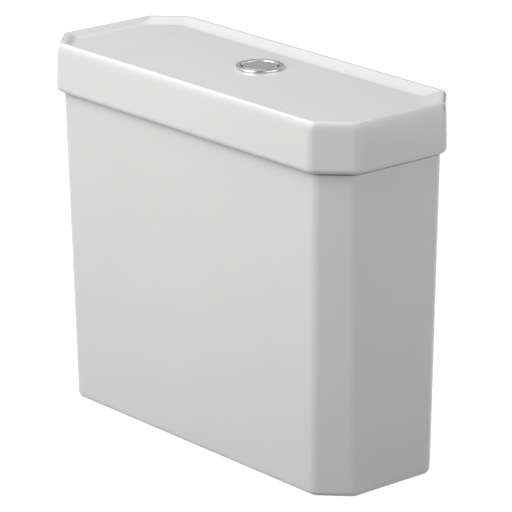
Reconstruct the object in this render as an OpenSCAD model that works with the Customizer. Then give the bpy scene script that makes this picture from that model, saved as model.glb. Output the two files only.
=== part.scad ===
// Close-coupled toilet cistern: glazed tank and lid, push-button flush valve, bottom-entry fill valve.
// The origin lies on the pan deck, under the middle of the lid: +X right, +Y to the wall, +Z up.

/* [Lid] */
// Width of the lid
lid_w = 420; // [410:1:440]
// Depth of the lid, front to wall
lid_d = 166; // [162:1:190]
// Height of the lid from its lower edge to its rim
lid_h = 47.5; // [45:0.5:56]
// Leg of the chamfers on the lid's corners
lid_chamfer = 30.5; // [24:0.5:38]
// Rounding of the lid's upright edges
lid_corner_r = 12; // [8:0.5:14]
// Draft of the lid's sides, from its lower edge to its rim
lid_draft = 1; // [0:0.25:2]
// Rounding of the lid's top edge, measured across
lid_edge_w = 4; // [3:0.5:6]
// Rounding of the lid's top edge, measured down the face
lid_edge_h = 9; // [4:0.5:14]
// Outer rounding of the lid's lower edge
lip_r = 5.5; // [2:0.25:5.75]
// Thickness of the lid's skirt
skirt_t = 7; // [7:0.5:9]
// Thickness of the lid's top plate
plate_t = 11; // [9:0.5:14]
// Depth of the dished top below the rim
dish_depth = 4; // [3:0.5:8]
// Width of the rim's flat crest
rim_crest = 2; // [0.5:0.25:3]
// Width of the slope from the rim down to the dish at each end
end_slope = 7.5; // [6:0.5:12]
// Width of that slope along the front
front_slope = 5.5; // [4:0.5:8]
// Width of that slope along the back
rear_slope = 18; // [14:0.5:26]

/* [Tank] */
// Height of the tank's shoulder, just under the lid
body_h = 304.5; // [290:0.5:340]
// Seam between the tank's shoulder and the lid
seam = 1.5; // [1:0.25:3]
// Overhang of the lid past the tank at each side
side_overhang = 7; // [5:0.5:8]
// Overhang of the lid past the tank's front
front_overhang = 8; // [6:0.5:8.5]
// Overhang of the lid past the tank's back
rear_overhang = 7; // [5:0.5:8]
// How much narrower each side is at the foot
side_taper = 4.5; // [0:0.5:8]
// How much the front leans back at the foot
front_taper = 5.5; // [0:0.5:8]
// Leg of the tank's corner chamfers at the shoulder
body_chamfer = 25; // [18:0.5:30]
// How much that leg grows down to the foot
chamfer_growth = 2.5; // [0:0.5:6]
// Rounding of the tank's upright edges
body_corner_r = 12; // [8:0.5:14]
// Rounding of the tank's bottom edge
foot_r = 5.5; // [4:0.5:12]
// Thickness of the tank's walls
wall_t = 10; // [9:0.5:12]
// Thickness of the tank's floor
floor_t = 14; // [11:0.5:18]
// Rounding between the walls and the floor inside
inner_r = 4; // [2:0.5:5]
// Thickness of the rubber pads under the lid
pad_t = 2; // [1:0.25:3]
// Length of a lid pad
pad_l = 24; // [12:1:36]
// Spacing of the two wall screw holes
wall_hole_spacing = 220; // [180:5:260]
// Height of the wall screw holes above the deck
wall_hole_z = 268; // [240:1:280]
// Radius of a wall screw hole
wall_hole_r = 4; // [3:0.25:5]

/* [Push button] */
// Distance of the button behind the middle of the lid
button_y = 15; // [13:0.5:20]
// Radius of the bezel's flange
bezel_r = 22.3; // [21.5:0.1:26]
// Height of the bezel's flange above the dish
bezel_h = 2.4; // [1.5:0.1:4]
// Radius of the bezel's threaded shank
bezel_shank_r = 19; // [18.5:0.1:20]
// Length of the bezel's shank below the dish
bezel_shank_l = 31; // [28:0.5:40]
// Radius of the button's cap
cap_r = 16.6; // [15:0.1:17]
// Thickness of the button's cap
cap_t = 6; // [4:0.5:9]
// How far the cap lies below the bezel's top
cap_sink = 0.4; // [0.2:0.1:1]
// Travel of the button
button_travel = 6.5; // [5:0.25:7]
// Radius of the button's stem
stem_r = 6; // [5.5:0.25:7]
// Radius of the push rod
rod_r = 4; // [3:0.25:4.5]
// Mean radius of the button's spring
spring_r = 9.5; // [8.5:0.25:12]
// Radius of the spring's wire
spring_wire_r = 0.7; // [0.4:0.05:1]
// Turns of the spring
spring_turns = 5; // [3:1:7]

/* [Flush valve] */
// Place of the valve's axis, from the middle of the lid
valve_y = -16; // [-18:0.5:-15]
// Radius of the threaded outlet tail
tail_r = 29.8; // [28:0.1:31]
// Bore radius of the outlet tail
tail_bore_r = 24.5; // [22:0.1:25.5]
// How far the tails and bolts reach below the deck
tail_drop = 38; // [32:0.5:50]
// Radius of the valve's flange
flange_r = 38; // [37:0.25:39]
// Thickness of the flange
flange_t = 5; // [4:0.5:8]
// Thickness of the rubber washer under the flange
base_washer_t = 3; // [2:0.25:4]
// Height of the seat's lip above the flange
seat_h = 3; // [2:0.25:5]
// Thickness of the flush seal
seal_t = 3; // [2:0.25:4]
// Radius of the lift tube, which is also the overflow
lift_r = 12.5; // [11:0.1:12.8]
// Wall of the lift tube
lift_wall = 2; // [1.5:0.1:2.5]
// Height of the overflow's edge above the deck
overflow_z = 252; // [240:1:270]
// Height of the rocker's pivot above the deck
pivot_z = 215; // [200:1:222]
// Rocker arm from its pivot to the lift tube's axis
lift_arm = 18; // [17.5:0.25:19]
// Radius of the hold-up float
hold_float_r = 27; // [22:0.5:28]
// Height of the hold-up float
hold_float_h = 40; // [25:1:50]
// Foot of the hold-up float above the deck
hold_float_z = 108; // [70:1:110]
// Radius of the outlet's back nut
back_nut_r = 39; // [37:0.5:40]
// Radius of the coupling gasket
gasket_r = 44; // [42:0.5:48]
// Depth of the coupling gasket below the deck
gasket_h = 23; // [18:0.5:26]

/* [Fill valve] */
// Distance of the fill valve in from the lid's end
fill_inset = 70; // [65:1:80]
// Radius of the threaded inlet shank
inlet_r = 10.48; // [10:0.01:11]
// Bore radius of the inlet shank
inlet_bore_r = 6.5; // [5:0.1:7]
// Radius of the fill valve's riser
riser_r = 9.5; // [9:0.1:10]
// Radius of the silencing sleeve round the riser
sleeve_r = 13; // [12.5:0.1:14]
// Wall of the silencing sleeve
sleeve_wall = 1.8; // [1.2:0.1:2]
// Height of the fill valve's head above the deck
head_z = 225; // [215:1:240]
// Radius of the head
head_r = 16; // [15:0.25:18]
// Height of the head
head_h = 18; // [15:0.5:24]
// Height of the head's cap
head_cap_h = 11; // [8:0.5:14]
// Radius of the cup float
float_r = 34; // [33:0.5:36]
// Height of the cup float
float_h = 45; // [30:1:50]
// Foot of the cup float above the deck, tank empty
float_z = 150; // [120:1:152]
// Rise of the cup float
float_travel = 14; // [10:0.5:15]
// Arm from its pin to the float's link
link_arm = 32; // [30:0.5:34]
// Arm from its pin to the pilot seal
seal_arm = 12; // [10:0.5:13]

/* [Fasteners] */
// Spacing of the two coupling bolts
bolt_spacing = 150; // [140:1:170]
// Radius of a coupling bolt
bolt_r = 4; // [3:0.25:5]
// Height of the rubber cone round a bolt
cone_h = 8; // [5:0.5:10]
// Thickness of the washers under the floor
under_washer_t = 2; // [1:0.25:2.5]
// Thickness of the plastic back nuts
back_nut_t = 10; // [8:0.5:12]

/* [Hidden] */

// Clearances: threads, running pins, sliding plastic, flat stops
thread_clear = 0.05;
run_clear = 0.05;
slide_clear = 0.4;
stop_gap = 0.3;
// Overrun of a cut past the face that it opens
cut = 1;
// Steps on a rounded corner of the ceramics and on their edge rounds
arc_steps = 4;
edge_steps = 4;
least_r = 0.6;
$fn = 64;

// Heights of the ceramics
lid_z0 = body_h + seam;
lid_z1 = lid_z0 + lid_h;
dish_z = lid_z1 - dish_depth;
plate_z = dish_z - plate_t;
rim_z = plate_z - pad_t;
skirt_gap = 2.5;
shoulder_r = 0.8;
lip_in = 1;
rim_r = 2;
rim_in = lid_draft + lid_edge_w + rim_crest;
rear_ease = 0.67;

// Button and its bezel
bezel_z = dish_z + bezel_h;
bezel_foot_z = dish_z - bezel_shank_l;
bezel_bore_r = cap_r + slide_clear;
bezel_hole_r = bezel_shank_r + 1.5;
web_t = 3;
web_z = bezel_foot_z + web_t;
cap_z1 = bezel_z - cap_sink;
cap_z0 = cap_z1 - cap_t;
lock_nut_t = 6;
lock_nut_z = bezel_foot_z - stop_gap;
rod_grip = 20;
bezel_washer_t = 2.5;
bezel_nut_t = 8;
nut_wall = 8;
bezel_nut_r = bezel_shank_r + nut_wall;
spring_gap = 0.2;

// Flush valve
base_z = floor_t + base_washer_t;
flange_z = base_z + flange_t;
seat_z = flange_z + seat_h;
seat_r = tail_bore_r + 3.5;
seal_r = seat_r + 0.5;
upstand_h = 6;
upstand_t = 2.5;
outlet_hole_r = tail_r + 1.5;
base_washer_r = tail_r + 5.6;
tower_r = flange_r - upstand_t - slide_clear;
tower_wall = 3.5;
tower_ring_h = 9;
tower_cap_t = 4;
tower_hub_r = lift_r + slide_clear + 3.5;
tower_hub_h = 18;
window_share = 1.14;
pivot_y = valve_y + lift_arm;
push_arm = button_y - pivot_y;
push_nub_r = 4;
rocker_swing = button_travel / push_arm * 180 / PI;
swing_clear = 3.8;
tower_cap_z = pivot_z - push_arm * sin(rocker_swing) - push_nub_r - swing_clear;
window_h = tower_cap_z - tower_cap_t - tower_hub_h - flange_z - tower_ring_h;
ear_x = 22;
ear_t = 4;
ear_w = 10;
ear_rise = 5.5;
rocker_pin_r = 2;
rocker_hub_r = 4.5;
rocker_bar_t = 4;
prong_w = 4.6;
prong_x = lift_r + 2.2 + prong_w / 2;
lift_nub_r = rocker_hub_r + 0.7;
push_arm_w = 10;
push_play = 0.5;
collar_z = pivot_z + lift_nub_r + stop_gap;
collar_h = 6;
collar_r = prong_x + prong_w / 2 + 1.7;
tube_foot_z = seat_z + seal_t;
tube_flange_r = lift_r + 7.5;
tube_flange_t = 3;
lift_bore_r = lift_r - lift_wall;
spigot_clear = 0.1;
spigot_wall = 1.6;
spigot_l = 15;
retainer_t = 3;
float_wall = 2;
float_top_t = 2.5;
rod_tip_z = pivot_z + push_nub_r + push_play;
gasket_recess_clear = 1;
outlet_end_r = tail_r - 1;
outlet_end_z = -gasket_h - 1;

// Fill valve
fill_x = lid_w / 2 - fill_inset;
fill_y = 0;
inlet_flange_r = 18.5;
inlet_flange_t = 4;
inlet_body_r = riser_r + 3.2;
inlet_hole_r = inlet_r + 1.5;
groove_z = -under_washer_t - back_nut_t - 0.5;
groove_w = 1.5;
groove_d = 0.6;
socket_h = 30;
socket_depth = 20;
socket_z1 = base_z + socket_h;
socket_z0 = socket_z1 - socket_depth;
riser_bore_r = riser_r - 3;
riser_collar_h = 9;
riser_collar_r = riser_r + 5.5;
sleeve_z = socket_z1 + riser_collar_h + 6;
sleeve_slot_w = 4;
sleeve_slot_h = 14;
head_socket = 10;
throat_r = 3;
head_z1 = head_z + head_h;
diaphragm_t = 2;
diaphragm_r = head_r - 3;
head_cap_r = head_r + 1.5;
cap_top_z = head_z1 + head_cap_h;
pilot_hole_r = 0.8;
pilot_r = 3;
arm_pivot_x = -4;
arm_tilt = float_travel / link_arm / 2 * 180 / PI;
arm_t = 5;
arm_w = 10;
arm_hub_r = 4;
arm_pin_r = 1.5;
seal_nub_r = 3;
seal_gap = 0.2;
arm_rise = 7;
arm_z = cap_top_z + arm_rise;
pilot_z = arm_z - seal_arm * sin(arm_tilt) - seal_nub_r - seal_gap;
arm_ear_t = 3;
arm_ear_w = 9;
float_shift = -14;
link_r = 1.6;
link_x = arm_pivot_x - link_arm * (1 + cos(arm_tilt)) / 2;
link_slot_w = 4.4;
link_slot_l = 7;
slot_end = 3;
link_play = 1.4;
link_disc_r = 3.5;
link_disc_t = 2;
arm_end_z = arm_z - link_arm * sin(arm_tilt);
float_top_z = float_z + float_h;
strainer_h = 18;
strainer_z = 0;

// Plug and bolts
plug_head_t = 5;
plug_drop = 16;
plug_flute_r = 7;
bolt_hole_r = bolt_r + 1.5;
head_washer_t = 1.6;
washer_w = 6;
head_washer_r = bolt_r + washer_w;
bolt_head_t = 5.5;
bolt_head_r = bolt_r * 1.875;
bolt_nut_t = 6.5;
bolt_head_z = floor_t + cone_h + head_washer_t;
bolt_washer_t = 3;
under_washer_lap = 1;
cone_flare = 3;
cone_crown = 1;
run_out_w = 1.5;
run_out_d = 0.6;

// Plan of an eight-sided ceramic outline: half width, front, back, chamfer leg
function shrink(p, d) = [p[0] - d, p[1] + d, p[2] - d, p[3] - d * (2 - sqrt(2))];
function corners(p) = [
    [p[0] - p[3], p[1]], [p[0], p[1] + p[3]], [p[0], p[2] - p[3]], [p[0] - p[3], p[2]],
    [p[3] - p[0], p[2]], [-p[0], p[2] - p[3]], [-p[0], p[1] + p[3]], [p[3] - p[0], p[1]]
];
// One rounded ring of that outline at height z
function ring(p, r, z) = let (c = corners(shrink(p, r))) [
    for (i = [0:7]) for (k = [0:arc_steps])
        let (a = 45 * (i + k / arc_steps) - 90)
        [c[i][0] + r * cos(a), c[i][1] + r * sin(a), z]
];
// The same ring moved in by d, its rounds shrinking with it
function inset_ring(p, r, d, z) = ring(shrink(p, d), max(r - d, least_r), z);

lid_plan = [lid_w / 2, -lid_d / 2, lid_d / 2, lid_chamfer];
neck_plan = shrink(lid_plan, skirt_t + skirt_gap);
// Plan of the slope inside the rim, from its crest at 0 to the dish at 1: ends and front curve like an S, the back flares out
function dish_plan(t) =
    let (p = shrink(lid_plan, rim_in), wave = acos(1 - 2 * t) / 180, flare = 1 - pow(1 - t, rear_ease))
    [p[0] - end_slope * wave, p[1] + front_slope * wave, p[2] - rear_slope * flare, p[3]];
// Plan of the tank's outside at height z, below the shoulder
function body_plan(z) = let (f = 1 - z / body_h) [
    lid_w / 2 - side_overhang - side_taper * f,
    -lid_d / 2 + front_overhang + front_taper * f,
    lid_d / 2 - rear_overhang,
    body_chamfer + chamfer_growth * f
];
body_back = body_plan(0)[2];
cavity_plan = shrink(body_plan(body_h), wall_t);

// Closed skin over a list of rings, capped at the first and the last
module loft(rings) {
    n = len(rings[0]);
    m = len(rings);
    polyhedron(
        points = [for (r = rings) each r],
        faces = concat(
            [[for (i = [0:n - 1]) i]],
            [
                for (j = [0:m - 2]) for (i = [0:n - 1])
                    let (low = j * n, high = low + n, next = (i + 1) % n)
                    each [[low + i, high + i, high + next], [low + i, high + next, low + next]]
            ],
            [[for (i = [0:n - 1]) m * n - 1 - i]]
        ),
        convexity = 6
    );
}

// Ring-shaped solid between two heights
module tube(r_out, r_in, z0, z1) {
    translate([0, 0, z0])
        difference() {
            cylinder(r = r_out, h = z1 - z0);
            translate([0, 0, -cut]) cylinder(r = r_in, h = z1 - z0 + 2 * cut);
        }
}

// Nut with flat sides and a round bore
module nut(r_out, r_in, z0, z1, sides = 6) {
    translate([0, 0, z0])
        difference() {
            cylinder(r = r_out, h = z1 - z0, $fn = sides);
            translate([0, 0, -cut]) cylinder(r = r_in, h = z1 - z0 + 2 * cut);
        }
}

// Turned solid from a radius and height outline
module turned(outline) rotate_extrude() polygon(outline);

// Cylinder along X or Y, centred
module bar_x(r, l) rotate([0, 90, 0]) cylinder(r = r, h = l, center = true);
module bar_y(r, l) rotate([90, 0, 0]) cylinder(r = r, h = l, center = true);

module at_button() translate([0, button_y, 0]) children();
module at_valve() translate([0, valve_y, 0]) children();
module at_fill() translate([fill_x, fill_y, 0]) children();
module at_plug() translate([-fill_x, fill_y, 0]) children();
module at_bolts() for (s = [-1, 1]) translate([s * bolt_spacing / 2, valve_y, 0]) children();

// Glazed tank with its drilled floor and back
module tank() {
    foot_rings = [
        for (k = [0:edge_steps])
            let (a = 90 * k / edge_steps, z = foot_r * (1 - cos(a)))
            inset_ring(body_plan(z), body_corner_r, foot_r * (1 - sin(a)), z)
    ];
    top_rings = [
        inset_ring(body_plan(body_h), body_corner_r, 0, body_h - shoulder_r),
        inset_ring(body_plan(body_h), body_corner_r, shoulder_r, body_h),
        ring(neck_plan, body_corner_r - rim_r, body_h),
        ring(neck_plan, body_corner_r - rim_r, rim_z - rim_r),
        inset_ring(neck_plan, body_corner_r - rim_r, rim_r, rim_z),
        inset_ring(cavity_plan, least_r, -rim_r, rim_z),
        ring(cavity_plan, least_r, rim_z - rim_r),
        ring(cavity_plan, least_r, body_h)
    ];
    floor_rings = [
        for (k = [0:edge_steps])
            let (a = 90 * k / edge_steps, z = floor_t + inner_r * (1 - sin(a)))
            inset_ring(shrink(body_plan(z), wall_t), least_r, inner_r * (1 - cos(a)), z)
    ];
    color("whitesmoke")
        difference() {
            loft(concat(foot_rings, top_rings, floor_rings));
            translate([0, 0, -cut]) {
                at_valve() cylinder(r = outlet_hole_r, h = floor_t + 2 * cut);
                at_bolts() cylinder(r = bolt_hole_r, h = floor_t + 2 * cut);
                at_fill() cylinder(r = inlet_hole_r, h = floor_t + 2 * cut);
                at_plug() cylinder(r = inlet_hole_r, h = floor_t + 2 * cut);
            }
            for (s = [-1, 1])
                translate([s * wall_hole_spacing / 2, body_back - wall_t / 2, wall_hole_z])
                    bar_y(wall_hole_r, wall_t + 2 * cut);
        }
}

// Glazed lid: skirt, raised rim and dished top with the button's hole
module lid() {
    skirt_rings = [
        inset_ring(lid_plan, lid_corner_r, skirt_t, plate_z),
        inset_ring(lid_plan, lid_corner_r, skirt_t, lid_z0 + lip_in),
        inset_ring(lid_plan, lid_corner_r, skirt_t - lip_in, lid_z0)
    ];
    lip_rings = [
        for (k = [0:edge_steps])
            let (a = 90 * k / edge_steps)
            inset_ring(lid_plan, lid_corner_r, lip_r * (1 - sin(a)), lid_z0 + lip_r * (1 - cos(a)))
    ];
    edge_rings = [
        for (k = [0:edge_steps])
            let (a = 90 * k / edge_steps)
            inset_ring(lid_plan, lid_corner_r, lid_draft + lid_edge_w * (1 - cos(a)), lid_z1 - lid_edge_h * (1 - sin(a)))
    ];
    dish_rings = [
        for (k = [0:2 * edge_steps])
            let (t = (1 - cos(90 * k / edge_steps)) / 2)
            ring(dish_plan(t), max(lid_corner_r - rim_in, least_r), lid_z1 - dish_depth * t)
    ];
    color("whitesmoke")
        difference() {
            loft(concat(skirt_rings, lip_rings, edge_rings, dish_rings));
            at_button() translate([0, 0, plate_z - cut]) cylinder(r = bezel_hole_r, h = plate_t + 2 * cut);
        }
}

// Rubber pads between the tank's rim and the lid
module lid_pads() {
    front_y = (neck_plan[1] + cavity_plan[1]) / 2;
    rear_y = (neck_plan[2] + cavity_plan[2]) / 2;
    pad_x = lid_w / 2 - lid_chamfer - side_overhang - wall_t - pad_l;
    pad_w = (wall_t - rim_r) / 2;
    color("dimgray")
        for (s = [-1, 1])
            for (y = [front_y, rear_y])
                translate([s * pad_x - pad_l / 2, y - pad_w / 2, rim_z])
                    cube([pad_l, pad_w, pad_t]);
}

// Chromed bezel with its threaded shank and the web that guides the stem
module button_bezel() {
    edge = 0.8;
    color("silver")
        at_button()
            turned([
                [stem_r + slide_clear, bezel_foot_z], [bezel_shank_r, bezel_foot_z], [bezel_shank_r, dish_z],
                [bezel_r, dish_z], [bezel_r, bezel_z - edge], [bezel_r - edge, bezel_z],
                [bezel_bore_r + edge, bezel_z], [bezel_bore_r, bezel_z - edge],
                [bezel_bore_r, web_z], [stem_r + slide_clear, web_z]
            ]);
}

// Rubber washer between the lid's underside and the bezel's nut
module bezel_washer() {
    color("dimgray")
        at_button() tube(bezel_nut_r, bezel_shank_r + thread_clear, plate_z - bezel_washer_t, plate_z);
}

// Plastic nut that holds the bezel in the lid
module bezel_nut() {
    nut_z1 = plate_z - bezel_washer_t;
    color("gainsboro")
        at_button() nut(bezel_nut_r, bezel_shank_r + thread_clear, nut_z1 - bezel_nut_t, nut_z1, 8);
}

// Round push button with its hollow stem
module flush_button() {
    edge = 0.6;
    stem_bore_z = lock_nut_z + rod_grip;
    color("lightgray")
        at_button()
            turned([
                [0, stem_bore_z], [rod_r + thread_clear, stem_bore_z], [rod_r + thread_clear, lock_nut_z],
                [stem_r, lock_nut_z], [stem_r, cap_z0], [cap_r, cap_z0],
                [cap_r, cap_z1 - edge], [cap_r - edge, cap_z1], [0, cap_z1]
            ]);
}

// Return spring: one wire wound as a helix between the web and the button
module button_spring() {
    sides = 6;
    rings_per_turn = 8;
    count = spring_turns * rings_per_turn;
    z0 = web_z + spring_gap + spring_wire_r;
    z1 = cap_z0 - spring_gap - spring_wire_r;
    centres = [
        for (i = [0:count])
            let (a = 360 * i / rings_per_turn)
            [spring_r * cos(a), spring_r * sin(a), z0 + (z1 - z0) * i / count]
    ];
    rings = [
        for (i = [0:count])
            let (a = 360 * i / rings_per_turn)
            [
                for (k = [0:sides - 1])
                    let (b = 360 * k / sides)
                    centres[i] + spring_wire_r * [cos(b) * cos(a), cos(b) * sin(a), -sin(b)]
            ]
    ];
    spans = [
        for (i = [0:count]) for (j = [i + rings_per_turn / 2:count]) norm(centres[i] - centres[j])
    ];
    echo("button spring least gap", min(spans) - 2 * spring_wire_r);
    color("darkgray") at_button() loft(rings);
}

// Rod that carries the button's push down to the rocker
module push_rod() {
    rod_top_z = lock_nut_z + rod_grip - stop_gap;
    color("white")
        at_button() translate([0, 0, rod_tip_z]) cylinder(r = rod_r, h = rod_top_z - rod_tip_z);
}

// Nut that locks the rod in the stem and stops the button under the web
module rod_lock_nut() {
    color("gainsboro")
        at_button() nut(stem_r + 3, rod_r + thread_clear, lock_nut_z - lock_nut_t, lock_nut_z);
}

// Flush valve body: flange, seat and the threaded outlet tail
module valve_base() {
    color("ivory")
        at_valve()
            turned([
                [tail_bore_r, -tail_drop], [outlet_end_r, -tail_drop], [outlet_end_r, outlet_end_z],
                [tail_r, outlet_end_z], [tail_r, base_z], [flange_r, base_z],
                [flange_r, flange_z + upstand_h], [flange_r - upstand_t, flange_z + upstand_h],
                [flange_r - upstand_t, flange_z], [seat_r, flange_z], [seat_r, seat_z], [tail_bore_r, seat_z]
            ]);
}

// Rubber washer that seals the flange on the tank's floor
module base_washer() {
    color("dimgray") at_valve() tube(base_washer_r, tail_r + thread_clear, floor_t, base_z);
}

// Slip washer under the tank, above the outlet's back nut
module back_nut_washer() {
    color("gainsboro") at_valve() tube(back_nut_r - 2, tail_r + thread_clear, -under_washer_t, 0);
}

// Large plastic back nut on the outlet tail
module outlet_back_nut() {
    color("ivory")
        at_valve()
            nut(back_nut_r, tail_r + thread_clear, -under_washer_t - back_nut_t, -under_washer_t, 8);
}

// Thick rubber gasket that swallows the back nut and seals on the pan
module coupling_gasket() {
    recess_r = back_nut_r + gasket_recess_clear;
    recess_z = -under_washer_t - back_nut_t - stop_gap;
    color("dimgray")
        at_valve()
            turned([
                [tail_r + stop_gap, -gasket_h], [gasket_r - 2, -gasket_h], [gasket_r, -gasket_h / 2],
                [gasket_r, 0], [recess_r, 0], [recess_r, recess_z], [tail_r + stop_gap, recess_z]
            ]);
}

// Cage that stands on the valve base, guides the lift tube and carries the rocker's ears
module valve_tower() {
    window_w = tower_r * window_share;
    color("azure")
        at_valve()
            difference() {
                union() {
                    tube(tower_r, tower_r - tower_wall, flange_z, tower_cap_z - tower_cap_t / 2);
                    translate([0, 0, tower_cap_z - tower_cap_t]) cylinder(r = tower_r, h = tower_cap_t);
                    translate([0, 0, tower_cap_z - tower_hub_h]) cylinder(r = tower_hub_r, h = tower_hub_h);
                    for (s = [-1, 1])
                        translate([s * (ear_x + ear_t / 2), lift_arm, tower_cap_z - tower_cap_t / 2])
                            translate([-ear_t / 2, -ear_w / 2, 0])
                                cube([ear_t, ear_w, pivot_z + ear_rise - tower_cap_z + tower_cap_t / 2]);
                }
                translate([0, 0, tower_cap_z - tower_hub_h - cut])
                    cylinder(r = lift_r + slide_clear, h = tower_hub_h + 2 * cut);
                for (a = [0:90:270])
                    rotate(a)
                        translate([tower_hub_r + cut, -window_w / 2, flange_z + tower_ring_h])
                            cube([tower_r, window_w, window_h]);
                translate([0, lift_arm, pivot_z]) bar_x(rocker_pin_r + run_clear, 2 * (ear_x + ear_t + cut));
            }
}

// Rocker: the button's rod presses one end, its fork lifts the tube at the other
module rocker() {
    hub_l = 2 * (ear_x - slide_clear);
    color("lightsteelblue")
        translate([0, pivot_y, pivot_z])
            difference() {
                union() {
                    bar_x(rocker_hub_r, hub_l);
                    for (s = [-1, 1])
                        translate([s * prong_x, -lift_arm, 0]) {
                            bar_x(lift_nub_r, prong_w);
                            translate([-prong_w / 2, 0, -rocker_bar_t / 2])
                                cube([prong_w, lift_arm, rocker_bar_t]);
                        }
                    translate([0, push_arm, 0]) bar_x(push_nub_r, push_arm_w);
                    translate([-push_arm_w / 2, 0, -rocker_bar_t / 2])
                        cube([push_arm_w, push_arm, rocker_bar_t]);
                }
                bar_x(rocker_pin_r + run_clear, hub_l + 2 * cut);
            }
}

// Headed pin through the tower's ears and the rocker
module rocker_pin() {
    head_t = 2;
    pin_l = 2 * (ear_x + ear_t) + 2;
    color("silver")
        translate([0, pivot_y, pivot_z]) {
            bar_x(rocker_pin_r, pin_l);
            translate([pin_l / 2 + head_t / 2, 0, 0]) bar_x(rocker_pin_r + 1.5, head_t);
        }
}

// Lift tube with its foot flange; water over its edge runs to the outlet
module lift_tube() {
    color("aliceblue")
        at_valve()
            turned([
                [lift_bore_r, tube_foot_z], [tube_flange_r, tube_foot_z],
                [tube_flange_r, tube_foot_z + tube_flange_t], [lift_r, tube_foot_z + tube_flange_t],
                [lift_r, overflow_z], [lift_bore_r, overflow_z]
            ]);
}

// Collar on the lift tube, which the rocker's fork lifts
module lift_collar() {
    color("lightsteelblue")
        at_valve() tube(collar_r, lift_r + thread_clear, collar_z, collar_z + collar_h);
}

// Hold-up float on the lift tube: an inverted cup that keeps the valve open while the tank empties
module hold_up_float() {
    top_z = hold_float_z + hold_float_h;
    hub_r = lift_r + thread_clear + float_wall;
    color("lightsteelblue")
        at_valve()
            turned([
                [lift_r + thread_clear, hold_float_z], [hub_r, hold_float_z], [hub_r, top_z - float_top_t],
                [hold_float_r - float_wall, top_z - float_top_t], [hold_float_r - float_wall, hold_float_z],
                [hold_float_r, hold_float_z], [hold_float_r, top_z], [lift_r + thread_clear, top_z]
            ]);
}

// Rubber seal that closes the seat
module flush_seal() {
    color("firebrick") at_valve() tube(seal_r, lift_bore_r + thread_clear, seat_z, tube_foot_z);
}

// Retainer under the seal, with a spigot held in the lift tube's foot
module seal_retainer() {
    spigot_r = lift_bore_r - spigot_clear;
    color("aliceblue")
        at_valve()
            turned([
                [spigot_r - spigot_wall, seat_z - retainer_t], [tube_flange_r, seat_z - retainer_t],
                [tube_flange_r, seat_z], [spigot_r, seat_z], [spigot_r, seat_z + spigot_l],
                [spigot_r - spigot_wall, seat_z + spigot_l]
            ]);
}

// Fill valve's foot: threaded inlet shank, flange and the riser's socket
module inlet_shank() {
    color("white")
        at_fill()
            turned([
                [inlet_bore_r, -tail_drop], [inlet_r, -tail_drop],
                [inlet_r, groove_z - groove_w], [inlet_r - groove_d, groove_z - groove_w],
                [inlet_r - groove_d, groove_z], [inlet_r, groove_z], [inlet_r, base_z],
                [inlet_flange_r, base_z], [inlet_flange_r, base_z + inlet_flange_t],
                [inlet_body_r, base_z + inlet_flange_t], [inlet_body_r, socket_z1],
                [riser_r + thread_clear, socket_z1], [riser_r + thread_clear, socket_z0],
                [inlet_bore_r, socket_z0]
            ]);
}

// Rubber washer under the fill valve's flange
module shank_washer() {
    color("dimgray") at_fill() tube(inlet_flange_r - 1, inlet_r + thread_clear, floor_t, base_z);
}

// Slip washer under the tank on the inlet shank
module inlet_nut_washer() {
    color("gainsboro") at_fill() tube(inlet_flange_r - 2, inlet_r + thread_clear, -under_washer_t, 0);
}

// Back nut on the inlet shank
module inlet_back_nut() {
    color("white")
        at_fill()
            nut(inlet_flange_r, inlet_r + thread_clear, -under_washer_t - back_nut_t, -under_washer_t);
}

// Strainer cup inside the inlet's bore
module inlet_strainer() {
    rim = 1.2;
    color("lightgreen")
        at_fill()
            turned([
                [inlet_bore_r - 3 * rim, strainer_z], [inlet_bore_r - thread_clear, strainer_z],
                [inlet_bore_r - thread_clear, strainer_z + 2 * rim],
                [inlet_bore_r - 2 * rim, strainer_z + 2 * rim],
                [inlet_bore_r - 3 * rim, strainer_z + strainer_h], [0, strainer_z + strainer_h],
                [0, strainer_z + strainer_h - rim], [inlet_bore_r - 4 * rim, strainer_z + strainer_h - rim]
            ]);
}

// Riser pipe from the shank's socket up into the head
module fill_riser() {
    color("white") at_fill() tube(riser_r, riser_bore_r, socket_z0, head_z + head_socket);
}

// Collar that locks the riser at its height
module riser_collar() {
    color("lightsteelblue")
        at_fill()
            nut(riser_collar_r, riser_r + thread_clear, socket_z1, socket_z1 + riser_collar_h, 12);
}

// Sleeve that leads the water quietly down round the riser
module silencer_sleeve() {
    color("gainsboro")
        at_fill()
            difference() {
                tube(sleeve_r, sleeve_r - sleeve_wall, sleeve_z, head_z);
                for (a = [0, 90])
                    rotate(a)
                        translate([-sleeve_r - cut, -sleeve_slot_w / 2, sleeve_z + sleeve_slot_h / 2])
                            cube([2 * (sleeve_r + cut), sleeve_slot_w, sleeve_slot_h]);
            }
}

// Fill valve's head with the riser's socket and the water's throat
module fill_head() {
    color("white")
        at_fill()
            turned([
                [throat_r, head_z + head_socket], [riser_r + thread_clear, head_z + head_socket],
                [riser_r + thread_clear, head_z], [head_r, head_z], [head_r, head_z1], [throat_r, head_z1]
            ]);
}

// Rubber diaphragm on the head
module diaphragm() {
    color("dimgray") at_fill() translate([0, 0, head_z1]) cylinder(r = diaphragm_r, h = diaphragm_t);
}

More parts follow.
